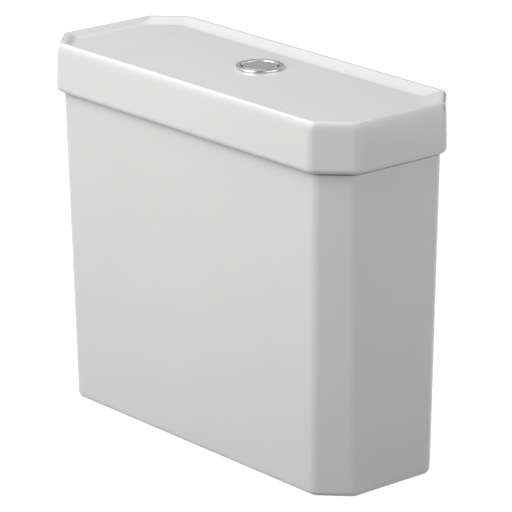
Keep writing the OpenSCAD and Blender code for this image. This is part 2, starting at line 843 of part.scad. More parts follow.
// Cap over the diaphragm, with the arm's ears and the pilot nozzle
module head_cap() {
    ear_y = arm_w / 2 + slide_clear;
    ear_h = arm_z + arm_hub_r - cap_top_z;
    color("lightsteelblue")
        at_fill()
            difference() {
                union() {
                    translate([0, 0, head_z1]) cylinder(r = head_cap_r, h = head_cap_h);
                    translate([arm_pivot_x + seal_arm, 0, cap_top_z - cut])
                        cylinder(r = pilot_r, h = pilot_z - cap_top_z + cut);
                    for (s = [-1, 1])
                        translate([arm_pivot_x, s * (ear_y + arm_ear_t / 2), cap_top_z - cut])
                            translate([-arm_ear_w / 2, -arm_ear_t / 2, 0])
                                cube([arm_ear_w, arm_ear_t, ear_h + cut]);
                }
                translate([0, 0, head_z1 - cut])
                    cylinder(r = diaphragm_r + slide_clear, h = diaphragm_t + cut);
                translate([arm_pivot_x + seal_arm, 0, head_z1])
                    cylinder(r = pilot_hole_r, h = pilot_z - head_z1 + cut);
                translate([arm_pivot_x, 0, arm_z])
                    bar_y(arm_pin_r + run_clear, 2 * (ear_y + arm_ear_t + cut));
            }
}

// Float arm: the link lifts its long end and its short end closes the pilot nozzle
module fill_arm() {
    long_l = link_arm + link_slot_l / 2 + slot_end;
    color("lightsteelblue")
        translate([fill_x + arm_pivot_x, fill_y, arm_z])
            rotate([0, -arm_tilt, 0])
                difference() {
                    union() {
                        bar_y(arm_hub_r, arm_w);
                        translate([-long_l, -arm_w / 2, -arm_t / 2]) cube([long_l, arm_w, arm_t]);
                        translate([0, -pilot_r, -arm_t / 2]) cube([seal_arm, 2 * pilot_r, arm_t]);
                        translate([seal_arm, 0, 0]) bar_y(seal_nub_r, 2 * pilot_r);
                    }
                    bar_y(arm_pin_r + run_clear, arm_w + 2 * cut);
                    translate([-link_arm - link_slot_l / 2, -link_slot_w / 2, -arm_t / 2 - cut])
                        cube([link_slot_l, link_slot_w, arm_t + 2 * cut]);
                }
}

// Pin of the float arm
module arm_pin() {
    pin_l = arm_w + 2 * (slide_clear + arm_ear_t) + 2;
    color("silver")
        translate([fill_x + arm_pivot_x, fill_y, arm_z]) bar_y(arm_pin_r, pin_l);
}

// Cup float that slides on the sleeve, open below and set to one side
module float_cup() {
    hub_r = sleeve_r + slide_clear + float_wall;
    color("lightsteelblue")
        at_fill()
            difference() {
                union() {
                    difference() {
                        translate([float_shift, 0, float_z]) cylinder(r = float_r, h = float_h);
                        translate([float_shift, 0, float_z - cut])
                            cylinder(r = float_r - float_wall, h = float_h - float_top_t + cut);
                    }
                    translate([0, 0, float_z]) cylinder(r = hub_r, h = float_h - float_top_t / 2);
                }
                translate([0, 0, float_z - cut]) cylinder(r = sleeve_r + slide_clear, h = float_h + 2 * cut);
            }
}

// Link from the float up to the arm, with a foot and a shoulder under the arm
module float_link() {
    foot_h = 4;
    shoulder_z = arm_end_z - arm_t / 2 - link_play;
    link_top_z = arm_end_z + arm_t / 2 + link_play + 2 * link_disc_t;
    color("silver")
        at_fill()
            translate([link_x, 0, 0])
                turned([
                    [0, float_top_z], [link_disc_r, float_top_z], [link_disc_r, float_top_z + foot_h],
                    [link_r, float_top_z + foot_h], [link_r, shoulder_z - link_disc_t],
                    [link_disc_r, shoulder_z - link_disc_t], [link_disc_r, shoulder_z], [link_r, shoulder_z],
                    [link_r, link_top_z], [0, link_top_z]
                ]);
}

// Clip on the link above the arm
module link_clip() {
    clip_z = arm_end_z + arm_t / 2 + link_play;
    color("gold")
        at_fill()
            translate([link_x, 0, 0])
                tube(link_disc_r, link_r + thread_clear, clip_z, clip_z + link_disc_t);
}

// Plug that closes the spare inlet hole
module blanking_plug() {
    color("white")
        at_plug()
            difference() {
                union() {
                    translate([0, 0, -plug_drop])
                        cylinder(r = inlet_r, h = plug_drop + base_z + plug_head_t / 2);
                    translate([0, 0, base_z]) cylinder(r = inlet_flange_r - 1, h = plug_head_t);
                }
                translate([0, 0, -plug_drop - cut])
                    cylinder(r = plug_flute_r, h = plug_drop + base_z + cut);
            }
}

// Rubber washer under the plug's head
module plug_washer() {
    color("dimgray") at_plug() tube(inlet_flange_r - 1, inlet_r + thread_clear, floor_t, base_z);
}

// Slip washer under the tank on the plug
module plug_nut_washer() {
    color("gainsboro") at_plug() tube(inlet_flange_r - 2, inlet_r + thread_clear, -under_washer_t, 0);
}

// Back nut on the plug
module plug_nut() {
    color("white")
        at_plug()
            nut(inlet_flange_r, inlet_r + thread_clear, -under_washer_t - back_nut_t, -under_washer_t);
}

// Pair of hexagon bolts that couple the tank to the pan, grooved under their nuts
module coupling_bolts() {
    groove_top = -bolt_washer_t - bolt_nut_t - stop_gap;
    color("silver")
        at_bolts() {
            turned([
                [0, -tail_drop], [bolt_r, -tail_drop], [bolt_r, groove_top - run_out_w],
                [bolt_r - run_out_d, groove_top - run_out_w], [bolt_r - run_out_d, groove_top],
                [bolt_r, groove_top], [bolt_r, bolt_head_z + bolt_head_t / 2],
                [0, bolt_head_z + bolt_head_t / 2]
            ]);
            translate([0, 0, bolt_head_z]) cylinder(r = bolt_head_r, h = bolt_head_t, $fn = 6);
        }
}

// Rubber cones that seal the bolts in the floor
module bolt_cones() {
    color("dimgray")
        at_bolts()
            turned([
                [bolt_r + thread_clear, floor_t], [head_washer_r + cone_flare, floor_t],
                [head_washer_r - cone_crown, floor_t + cone_h], [bolt_r + thread_clear, floor_t + cone_h]
            ]);
}

// Steel washers under the bolt heads
module bolt_head_washers() {
    color("silver")
        at_bolts()
            tube(head_washer_r, bolt_r + thread_clear, floor_t + cone_h, floor_t + cone_h + head_washer_t);
}

// Washers under the tank on the bolts
module bolt_under_washers() {
    color("dimgray")
        at_bolts() tube(head_washer_r + under_washer_lap, bolt_r + thread_clear, -bolt_washer_t, 0);
}

// Nuts that clamp the bolts to the tank
module bolt_nuts() {
    color("silver")
        at_bolts()
            nut(bolt_head_r, bolt_r + thread_clear, -bolt_washer_t - bolt_nut_t, -bolt_washer_t);
}

tank();
lid();
lid_pads();
button_bezel();
bezel_washer();
bezel_nut();
flush_button();
button_spring();
push_rod();
rod_lock_nut();
valve_base();
base_washer();
back_nut_washer();
outlet_back_nut();
coupling_gasket();
valve_tower();
rocker();
rocker_pin();
lift_tube();
lift_collar();
hold_up_float();
flush_seal();
seal_retainer();
inlet_shank();
shank_washer();
inlet_nut_washer();
inlet_back_nut();
inlet_strainer();
fill_riser();
riser_collar();
silencer_sleeve();
fill_head();
diaphragm();
head_cap();
fill_arm();
arm_pin();
float_cup();
float_link();
link_clip();
blanking_plug();
plug_washer();
plug_nut_washer();
plug_nut();
coupling_bolts();
bolt_cones();
bolt_head_washers();
bolt_under_washers();
bolt_nuts();
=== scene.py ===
"""Looks of a close-coupled cistern: glazed tank and lid, chromed push button and the plastic valves inside.

Sizes are in millimetres of the row's frame, and a finished mesh is cast in metres.
"""

import logging
import math
from dataclasses import astuple, dataclass
from enum import Enum
from typing import Sequence

import bmesh
import bpy
from mathutils import Matrix, Vector


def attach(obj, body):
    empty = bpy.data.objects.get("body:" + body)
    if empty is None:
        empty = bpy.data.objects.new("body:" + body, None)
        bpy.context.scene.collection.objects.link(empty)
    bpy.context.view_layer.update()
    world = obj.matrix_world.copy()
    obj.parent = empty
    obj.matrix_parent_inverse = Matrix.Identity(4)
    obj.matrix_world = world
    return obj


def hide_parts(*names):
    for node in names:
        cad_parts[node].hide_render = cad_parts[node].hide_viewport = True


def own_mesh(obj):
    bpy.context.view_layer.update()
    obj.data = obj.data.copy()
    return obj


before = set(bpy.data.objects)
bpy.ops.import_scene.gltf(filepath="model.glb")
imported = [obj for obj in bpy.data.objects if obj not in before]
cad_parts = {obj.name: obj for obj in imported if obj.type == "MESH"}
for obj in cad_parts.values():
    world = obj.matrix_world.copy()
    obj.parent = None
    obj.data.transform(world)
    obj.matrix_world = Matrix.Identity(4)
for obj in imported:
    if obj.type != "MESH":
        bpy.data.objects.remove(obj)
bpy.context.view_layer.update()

LOG = logging.getLogger("cistern")
MM = 0.001
FULL_TURN = 2.0 * math.pi
QUARTER_TURN = 0.5 * math.pi
# Gap in millimetres that keeps nested skins apart.
SLIP = 0.05
# Points in millimetres that lie nearer than this to a plane count as on it.
LEVEL = 0.01
# Radius, depth and pitch in millimetres of the half-inch pipe thread.
PIPE, PIPE_DEPTH, PIPE_PITCH = 10.48, 0.6, 1.814
# Phase in radians that a wave texture turns through in one unit.
WAVE_PHASE = 20.0
# How a bevel rounds: by its true width, as an arc, in the material beside it.
ROUND = {"offset_type": "OFFSET", "profile": 0.5, "material": -1}
WHITE_LIGHT = "#FFFFFF"
# Lean in degrees of a card that stands upright.
UPRIGHT = 90.0

Point = tuple[float, float]
Place = tuple[float, float, float]
UP: Place = (0.0, 0.0, 1.0)
# Name, CAD node, outer radius and softening of a washer or nut.
Collar = tuple[str, str, float, float]
Edges = list[bmesh.types.BMEdge]


class Body(Enum):
    """CAD bodies that the pieces ride on."""

    CISTERN = "cistern"
    LID = "lid"
    BUTTON = "button"
    ROCKER = "rocker"
    LIFT_VALVE = "lift_valve"
    FLOAT = "float"
    FILL_ARM = "fill_arm"


class Slot(Enum):
    """Material slots of the record."""

    CHINA = "glazed_china"
    CHROME = "polished_chrome"
    SATIN = "satin_chrome"
    RUBBER = "black_rubber"
    SEAL = "seal_rubber"
    WHITE = "white_plastic"
    BLUE = "blue_plastic"
    GREEN = "green_plastic"
    STEEL = "plated_steel"
    BRASS = "brass"


def linear(colour: str) -> tuple[float, float, float, float]:
    """Returns the linear RGBA of an sRGB colour written as #RRGGBB."""
    parts = [int(colour[i : i + 2], 16) / 255.0 for i in (1, 3, 5)]
    return (*[p / 12.92 if p <= 0.04045 else ((p + 0.055) / 1.055) ** 2.4 for p in parts], 1.0)


def add_node(tree: bpy.types.NodeTree, kind: str, inputs: dict | None = None, **settings: object) -> bpy.types.Node:
    """Adds one node with its settings and links.

    Args:
        tree: Node tree to add to.
        kind: Type name of the node.
        inputs: Socket name or number to a value, or to the output socket to link.
        settings: Attributes of the node.

    Returns:
        The new node.
    """
    node = tree.nodes.new(kind)
    for name, value in settings.items():
        setattr(node, name, value)
    for name, value in (inputs or {}).items():
        if isinstance(value, bpy.types.NodeSocket):
            tree.links.new(value, node.inputs[name])
        else:
            node.inputs[name].default_value = value
    return node


def emptied(owner: bpy.types.Material | bpy.types.World) -> bpy.types.NodeTree:
    """Returns the node tree of a new material or world, with nothing in it."""
    owner.use_nodes = True
    owner.node_tree.nodes.clear()
    return owner.node_tree


def per_metre(size: float) -> float:
    """Returns the scale at which a pattern's unit has a size in millimetres."""
    return 1.0 / (size * MM)


@dataclass(frozen=True)
class Finish:
    """A surface: two near colours in soft blots, a range of gloss and a fine relief, sized in millimetres."""

    name: str
    slot: Slot
    pale: str
    deep: str
    blot: float
    gloss: tuple[float, float]
    grain: float
    depth: float
    metallic: float = 0.0
    ior: float = 1.5

    def material(self) -> bpy.types.Material:
        """Returns the finish's material, made once."""
        found = bpy.data.materials.get(self.name)
        if found is not None:
            return found
        made = bpy.data.materials.new(self.name)
        made.use_nodes = True
        tree = made.node_tree
        shader = tree.nodes["Principled BSDF"]
        shader.inputs["Metallic"].default_value = self.metallic
        shader.inputs["IOR"].default_value = self.ior
        where = add_node(tree, "ShaderNodeTexCoord").outputs["Object"]
        blots = add_node(
            tree, "ShaderNodeTexNoise", {"Vector": where, "Scale": per_metre(self.blot), "Detail": 3.0}
        ).outputs[0]
        colours = {0: blots, 6: linear(self.pale), 7: linear(self.deep)}
        tint = add_node(tree, "ShaderNodeMix", colours, data_type="RGBA").outputs[2]
        spread = {"Value": blots, "From Min": 0.3, "From Max": 0.7, "To Min": self.gloss[0], "To Max": self.gloss[1]}
        rough = add_node(tree, "ShaderNodeMapRange", spread).outputs[0]
        tree.links.new(tint, shader.inputs["Base Color"])
        tree.links.new(rough, shader.inputs["Roughness"])
        tree.links.new(self.relief(tree, where), shader.inputs["Normal"])
        return made

    def layers(self) -> list[tuple[float, float, float]]:
        """Returns the size, depth and detail of each layer of the relief, from below."""
        return [(self.grain, self.depth, 1.0)]

    def relief(self, tree: bpy.types.NodeTree, where: bpy.types.NodeSocket) -> bpy.types.NodeSocket:
        """Adds the relief, layer on layer.

        Args:
            tree: Node tree to add to.
            where: Coordinates in metres.

        Returns:
            The normal socket.
        """
        normal = {}
        for size, depth, detail in self.layers():
            noise = {"Vector": where, "Scale": per_metre(size), "Detail": detail}
            height = add_node(tree, "ShaderNodeTexNoise", noise).outputs[0]
            inputs = {"Distance": depth * MM, "Height": height, **normal}
            normal = {"Normal": add_node(tree, "ShaderNodeBump", inputs).outputs[0]}
        return normal["Normal"]


@dataclass(frozen=True)
class Glaze(Finish):
    """A fired glaze, whose skin wanders slowly as well as in its grain."""

    drift: float = 45.0
    sag: float = 0.05

    def layers(self) -> list[tuple[float, float, float]]:
        """Returns the slow drift of the glaze, then its grain."""
        return [(self.drift, self.sag, 0.0), *super().layers()]


@dataclass(frozen=True)
class SpunMetal(Finish):
    """Metal finished on a lathe, with rings round an upright axis, a grain apart."""

    axis: Point = (0.0, 0.0)

    def relief(self, tree: bpy.types.NodeTree, where: bpy.types.NodeSocket) -> bpy.types.NodeSocket:
        """Adds the rings, and returns the normal socket."""
        shift = (-self.axis[0] * MM, -self.axis[1] * MM, 0.0)
        centred = add_node(tree, "ShaderNodeMapping", {"Vector": where, "Location": shift}).outputs[0]
        scale = per_metre(self.grain) * FULL_TURN / WAVE_PHASE
        waves = {"Vector": centred, "Scale": scale, "Distortion": 0.6, "Detail": 1.0}
        rings = add_node(tree, "ShaderNodeTexWave", waves, wave_type="RINGS", rings_direction="Z")
        inputs = {"Distance": self.depth * MM, "Height": rings.outputs["Fac"]}
        return add_node(tree, "ShaderNodeBump", inputs).outputs[0]


BUTTON_AT: Point = (0.0, 15.0)
# Vitreous china under a clear white glaze, dipped and fired: even, glossy, with a slow waviness in its reflections.
CHINA = Glaze("glazed_vitreous_china", Slot.CHINA, "#E6E6E5", "#DEDEDD", 130.0, (0.07, 0.1), 5.0, 0.002)
# The same china wiped bare where it stood in the kiln: dry, creamy and finely gritty.
BISQUE = Finish("bare_fired_china", Slot.CHINA, "#DDD8CD", "#CAC3B4", 12.0, (0.78, 0.9), 0.7, 0.05)
# Bright chrome plate on moulded ABS: a mirror with hardly any haze.
CHROME = Finish("polished_chrome_plate", Slot.CHROME, "#C6C7C8", "#BEBFC0", 4.0, (0.04, 0.07), 3.0, 0.001, 1.0)
# The bezel's flat top, brushed before it was plated: the same chrome with a soft grey sheen. Its rings, and those of
# the satin cap, are about three millimetres apart, coarser than real so that they show.
BRUSHED = SpunMetal(
    "brushed_chrome_plate", Slot.CHROME, "#C8C9CA", "#C0C1C2", 4.0, (0.26, 0.32), 3.1416, 0.004, 1.0, axis=BUTTON_AT
)
# Satin chrome plate over a spun face: soft grey.
SATIN = SpunMetal(
    "satin_chrome_plate", Slot.SATIN, "#C3C4C5", "#BBBCBD", 4.0, (0.3, 0.36), 3.1416, 0.004, 1.0, axis=BUTTON_AT
)
# Moulded nitrile rubber: matt black with a bloom of dust.
BLACK = Finish("black_nitrile_rubber", Slot.RUBBER, "#1B1B1E", "#39393E", 8.0, (0.55, 0.75), 0.6, 0.03)
# Moulded silicone rubber: dull brick red with the same dusty skin.
SEAL = Finish("red_silicone_rubber", Slot.SEAL, "#A04C40", "#7F352B", 8.0, (0.5, 0.7), 0.6, 0.02)
# Injection-moulded polypropylene and ABS: half-gloss, with the grain of the mould and faint flow marks.
WHITE = Finish("white_moulded_plastic", Slot.WHITE, "#EDEEEC", "#DDDEDB", 22.0, (0.3, 0.44), 0.9, 0.01, ior=1.49)
BLUE = Finish("blue_moulded_plastic", Slot.BLUE, "#95B7D3", "#7DA2C2", 22.0, (0.27, 0.4), 0.9, 0.01, ior=1.49)
GREEN = Finish("green_moulded_plastic", Slot.GREEN, "#A6CAA6", "#8DB38D", 22.0, (0.45, 0.55), 0.9, 0.01, ior=1.49)
# Zinc-plated steel: drawn or forged, then dulled in patches by handling.
STEEL = Finish("zinc_plated_steel", Slot.STEEL, "#DBDDDF", "#B2B5B9", 3.5, (0.22, 0.42), 0.5, 0.01, 1.0)
# Turned brass, a little tarnished.
BRASS = Finish("turned_brass", Slot.BRASS, "#E9D29C", "#C9AA6C", 3.5, (0.2, 0.4), 0.5, 0.01, 1.0)


@dataclass(frozen=True)
class Plan:
    """Eight-sided outline of the china: half width, front, back and the leg of its chamfers."""

    half: float
    front: float
    back: float
    leg: float

    def inset(self, by: float) -> "Plan":
        """Returns the outline moved in on all sides."""
        leg = self.leg - by * (2.0 - math.sqrt(2.0))
        return Plan(self.half - by, self.front + by, self.back - by, leg)

    def corners(self) -> list[Point]:
        """Returns the eight corners, anticlockwise from the front's right end."""
        h, f, b, c = self.half, self.front, self.back, self.leg
        right = [(h - c, f), (h, f + c), (h, b - c), (h - c, b)]
        return right + [(-x, y) for x, y in reversed(right)]


class Form:
    """A piece's mesh while it is shaped."""

    def __init__(self, name: str) -> None:
        """Starts an empty mesh."""
        self.name = name
        self.mesh = bmesh.new()

    @classmethod
    def of_node(cls, node: str, name: str) -> "Form":
        """Starts from a copy of a CAD node in millimetres, its loose triangles merged back into faces."""
        form = cls(name)
        form.mesh.from_mesh(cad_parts[node].data)
        bmesh.ops.scale(form.mesh, vec=(1.0 / MM,) * 3, verts=form.mesh.verts[:])
        bmesh.ops.remove_doubles(form.mesh, verts=form.mesh.verts[:], dist=0.002)
        limit = math.radians(1.0)
        bmesh.ops.dissolve_limit(form.mesh, angle_limit=limit, verts=form.mesh.verts[:], edges=form.mesh.edges[:])
        return form

    def loop(self, points: Sequence[Sequence[float]]) -> Edges:
        """Adds a closed loop of edges through a few points, and returns it."""
        verts = [self.mesh.verts.new(p) for p in points]
        return [self.mesh.edges.new(pair) for pair in zip(verts, verts[1:] + verts[:1])]

    def octagon(self, plan: Plan, radius: float, z: float, steps: int = 10) -> Edges:
        """Adds a level ring of the china's outline with rounded corners.

        Args:
            plan: Outline of the ring.
            radius: Rounding of its corners.
            z: Height.
            steps: Edges on each rounded corner.

        Returns:
            The ring's edges.
        """
        flat = bmesh.new()
        flat.faces.new([flat.verts.new((x, y, z)) for x, y in plan.corners()])
        reach = radius * math.tan(math.pi / 8.0)
        bmesh.ops.bevel(flat, geom=flat.verts[:], offset=reach, segments=steps, affect="VERTICES", **ROUND)
        points = [v.co.copy() for v in max(flat.faces, key=lambda f: f.calc_area()).verts]
        flat.free()
        return self.loop(points)

    def hoop(self, place: Matrix, radius: float, steps: int) -> Edges:
        """Adds a circle round the Z axis of a place, and returns its edges."""
        made = bmesh.ops.create_circle(self.mesh, radius=radius, segments=steps, matrix=place)
        return list({e for v in made["verts"] for e in v.link_edges})

    def circle(self, centre: Point, radius: float, z: float, steps: int = 64, turn: float = 0.0) -> Edges:
        """Adds a level circle, or a polygon with few steps, and returns its edges."""
        return self.hoop(Matrix.Translation((*centre, z)) @ Matrix.Rotation(turn, 4, "Z"), radius, steps)

    def skin(self, rings: Sequence[Edges]) -> None:
        """Bridges each ring to the next."""
        for low, high in zip(rings, rings[1:]):
            bmesh.ops.bridge_loops(self.mesh, edges=[*low, *high])

    def fill(self, *rings: Edges) -> None:
        """Fills the flat area inside the first ring, with the other rings as holes."""
        edges = [e for ring in rings for e in ring]
        bmesh.ops.triangle_fill(self.mesh, use_beauty=True, edges=edges)

    def turned(self, outline: Sequence[Point], centre: Point = (0.0, 0.0), steps: int = 72) -> "Form":
        """Spins an outline of radius and height round an upright axis.

        Args:
            outline: Radius and height of each corner; open where it starts and ends on the axis.
            centre: Place of the axis.
            steps: Steps of the full turn.

        Returns:
            The form itself.
        """
        verts = [self.mesh.verts.new((centre[0] + r, centre[1], z)) for r, z in outline]
        ends = verts[1:] if outline[0][0] == outline[-1][0] == 0.0 else verts[1:] + verts[:1]
        edges = [self.mesh.edges.new(pair) for pair in zip(verts, ends)]
        sweep = {"cent": (*centre, 0.0), "axis": UP, "angle": FULL_TURN, "steps": steps}
        bmesh.ops.spin(self.mesh, geom=verts + edges, dvec=(0.0, 0.0, 0.0), use_merge=True, **sweep)
        self.weld()
        return self

    def wound(self, section: Sequence[Point], centre: Point, pitch: float, turns: int, steps: int = 32) -> None:
        """Winds a closed section of radius and height up a helix, with closed ends.

        Args:
            section: Radius and height of the section's corners.
            centre: Place of the axis.
            pitch: Rise of one turn.
            turns: Number of whole turns.
            steps: Steps of one turn.
        """
        coil = Form("coil")
        edges = coil.loop([(centre[0] + r, centre[1], z) for r, z in section])
        sweep = {"cent": (*centre, 0.0), "axis": UP, "angle": FULL_TURN, "steps": steps}
        bmesh.ops.spin(coil.mesh, geom=coil.mesh.verts[:] + edges, dvec=(0.0, 0.0, pitch / steps), **sweep)
        turn = bpy.data.meshes.new("one turn")
        coil.mesh.to_mesh(turn)
        bmesh.ops.delete(coil.mesh, geom=coil.mesh.verts[:], context="VERTS")
        for k in range(turns):
            count = len(coil.mesh.verts)
            coil.mesh.from_mesh(turn)
            coil.mesh.verts.ensure_lookup_table()
            bmesh.ops.translate(coil.mesh, vec=(0.0, 0.0, pitch * k), verts=coil.mesh.verts[count:])
        bmesh.ops.remove_doubles(coil.mesh, verts=coil.mesh.verts[:], dist=0.001)
        ends = [e for e in coil.mesh.edges if e.is_boundary]
        bmesh.ops.holes_fill(coil.mesh, edges=ends, sides=len(section))
        bmesh.ops.recalc_face_normals(coil.mesh, faces=coil.mesh.faces[:])
        coil.mesh.to_mesh(turn)
        coil.mesh.free()
        self.mesh.from_mesh(turn)
        bpy.data.meshes.remove(turn)

    def thread(self, centre: Point, radius: float, pitch: float, low: float, high: float) -> None:
        """Winds a V thread on a shank, in as many whole turns as fit between two heights."""
        depth, half = pitch * 0.5, pitch * 0.42
        section = [(radius - depth, low), (radius, low + half), (radius - depth, low + 2.0 * half)]
        self.wound(section, centre, pitch, int((high - low - 2.0 * half) / pitch))

    def bored(self, rims: Sequence[Edges], centre: Point, bore: float, low: float, high: float) -> "Form":
        """Closes a collar between two rims, with a round bore through it, and returns the form."""
        bores = [self.circle(centre, bore, z, 48) for z in (low, high)]
        self.skin(rims)
        self.skin(bores)
        for rim, hole in zip(rims, bores):
            self.fill(rim, hole)
        self.weld()
        return self

    def nut(self, centre: Point, outer: float, bore: float, low: float, high: float, sides: int = 6) -> "Form":
        """Adds a nut with flat sides and a round bore, and returns the form."""
        rims = [self.circle(centre, outer, z, sides, QUARTER_TURN) for z in (low, high)]
        return self.bored(rims, centre, bore, low, high)

    def fluted(self, centre: Point, outer: float, bore: float, low: float, high: float, flutes: int) -> "Form":
        """Adds a collar whose rim is fluted for the fingers, and returns the form."""
        flute_depth = 1.1
        shrink = 1.0 - flute_depth / outer
        rims = [self.circle(centre, outer, z, 4 * flutes) for z in (low, high)]
        for rim in rims:
            verts = {v for e in rim for v in e.verts}
            verts = sorted(verts, key=lambda v: math.atan2(v.co.y - centre[1], v.co.x - centre[0]))
            bmesh.ops.scale(
                self.mesh,
                vec=(shrink, shrink, 1.0),
                space=Matrix.Translation((-centre[0], -centre[1], 0.0)),
                verts=[v for i, v in enumerate(verts) if i % 4 > 1],
            )
        return self.bored(rims, centre, bore, low, high)

    def weld(self) -> None:
        """Merges doubled points and turns all faces outwards."""
        bmesh.ops.remove_doubles(self.mesh, verts=self.mesh.verts[:], dist=0.001)
        bmesh.ops.dissolve_degenerate(self.mesh, dist=0.0005, edges=self.mesh.edges[:])
        bmesh.ops.recalc_face_normals(self.mesh, faces=self.mesh.faces[:])

    def soften(self, width: float, segments: int = 3, angle: float = 30.0) -> "Form":
        """Rounds every edge that turns by more than an angle, and returns the form."""
        limit = math.radians(angle)
        edges = [e for e in self.mesh.edges if e.is_manifold and e.calc_face_angle(0.0) > limit]
        bmesh.ops.bevel(
            self.mesh, geom=edges, offset=width, segments=segments, affect="EDGES", clamp_overlap=True, **ROUND
        )
        return self

    def cast(
        self, finish: Finish, node: str, body: Body = Body.CISTERN, smooth: float = 35.0
    ) -> bpy.types.Object:
        """Turns the form into an object that rides on a body.

        Args:
            finish: Finish of the piece.
            node: CAD node that it stands for.
            body: Body that carries it.
            smooth: Angle in degrees past which an edge shades sharp.

        Returns:
            The new object.
        """
        bmesh.ops.recalc_face_normals(self.mesh, faces=self.mesh.faces[:])
        bmesh.ops.scale(self.mesh, vec=(MM,) * 3, verts=self.mesh.verts[:])
        data = bpy.data.meshes.new(self.name)
        self.mesh.to_mesh(data)
        self.mesh.free()
        data.polygons.foreach_set("use_smooth", [True] * len(data.polygons))
        data.set_sharp_from_angle(angle=math.radians(smooth))
        data.materials.append(finish.material())
        piece = bpy.data.objects.new(self.name, data)
        bpy.context.scene.collection.objects.link(piece)
        even = piece.modifiers.new("even shading", "WEIGHTED_NORMAL")
        even.keep_sharp = True
        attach(piece, body.value)
        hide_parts(node)
        LOG.info("%s: %d faces on %s", self.name, len(data.polygons), body.value)
        return piece


def bend(steps: int, across: float, along: float) -> list[Point]:
    """Returns the offsets of a quarter round from its square corner, along first and then across."""
    angles = [QUARTER_TURN * k / steps for k in range(steps + 1)]
    return [(across * (1.0 - math.cos(a)), along * (1.0 - math.sin(a))) for a in angles]


@dataclass
class Lid:
    """China lid: a skirt, a raised rim and a dished top with the button's hole."""

    plan: Plan = Plan(210.0, -83.0, 83.0, 30.5)
    foot: float = 306.0
    top: float = 353.5
    corner: float = 12.0
    draft: float = 1.0
    edge_across: float = 4.0
    edge_down: float = 9.0
    lip: float = 5.5
    skirt: float = 7.0
    skirt_round: float = 1.0
    cove: float = 3.0
    plate: float = 338.5
    dish: float = 349.5
    crest: float = 2.0
    end_slope: float = 7.5
    front_slope: float = 5.5
    rear_slope: float = 18.0
    rear_ease: float = 0.67
    slope_steps: int = 16
    least_corner: float = 4.0
    hole: float = 20.5
    hole_at: Point = BUTTON_AT
    pad_length: float = 24.0
    pad_width: float = 4.0
    pad_low: float = 336.5
    pad_x: float = 138.5
    pad_rows: tuple[float, float] = (-69.25, 69.75)

    def ring(self, form: Form, inset: float, z: float) -> Edges:
        """Adds a ring moved in from the lid's outline, its corners shrinking with it."""
        return form.octagon(self.plan.inset(inset), max(self.corner - inset, self.least_corner), z)

    def slope_ring(self, form: Form, share: float) -> Edges:
        """Adds a ring of the slope inside the rim, at a share of the dish's depth, and returns its edges."""
        inset = self.draft + self.edge_across + self.crest
        crest = self.plan.inset(inset)
        wave = math.acos(1.0 - 2.0 * share) / math.pi
        flare = 1.0 - (1.0 - share) ** self.rear_ease
        plan = Plan(
            crest.half - self.end_slope * wave,
            crest.front + self.front_slope * wave,
            crest.back - self.rear_slope * flare,
            crest.leg,
        )
        return form.octagon(plan, self.corner - inset, self.top - (self.top - self.dish) * share)

    def build(self) -> None:
        """Builds the lid and the pads under it."""
        form = Form("cistern_lid")
        levels = [
            *[(self.skirt + i, self.plate - z) for i, z in reversed(bend(4, self.cove, self.cove))],
            *[(self.skirt - i, self.foot + z) for i, z in bend(3, self.skirt_round, self.skirt_round)],
            *[(i, self.foot + z) for i, z in reversed(bend(8, self.lip, self.lip))],
            *[(self.draft + i, self.top - z) for i, z in bend(12, self.edge_across, self.edge_down)],
        ]
        rings = [self.ring(form, inset, z) for inset, z in levels]
        angles = [math.pi * k / self.slope_steps for k in range(1, self.slope_steps + 1)]
        rings += [self.slope_ring(form, 0.5 - 0.5 * math.cos(a)) for a in angles]
        form.skin(rings)
        holes = [form.circle(self.hole_at, self.hole, z, 96) for z in (self.plate, self.dish)]
        form.skin(holes)
        form.fill(rings[0], holes[0])
        form.fill(rings[-1], holes[1])
        form.weld()
        form.cast(CHINA, "lid", Body.LID, smooth=50.0)
        self.build_pads()

    def build_pads(self) -> None:
        """Builds the rubber pads between the tank's rim and the lid."""
        form = Form("lid_seat_pads")
        size = (self.pad_length, self.pad_width, self.plate - self.pad_low)
        for side in (-1.0, 1.0):
            for y in self.pad_rows:
                at = Matrix.Translation((side * self.pad_x, y, (self.pad_low + self.plate) / 2.0))
                bmesh.ops.create_cube(form.mesh, size=1.0, matrix=at @ Matrix.Diagonal((*size, 1.0)))
        form.soften(0.6).cast(BLACK, "lid_pads")


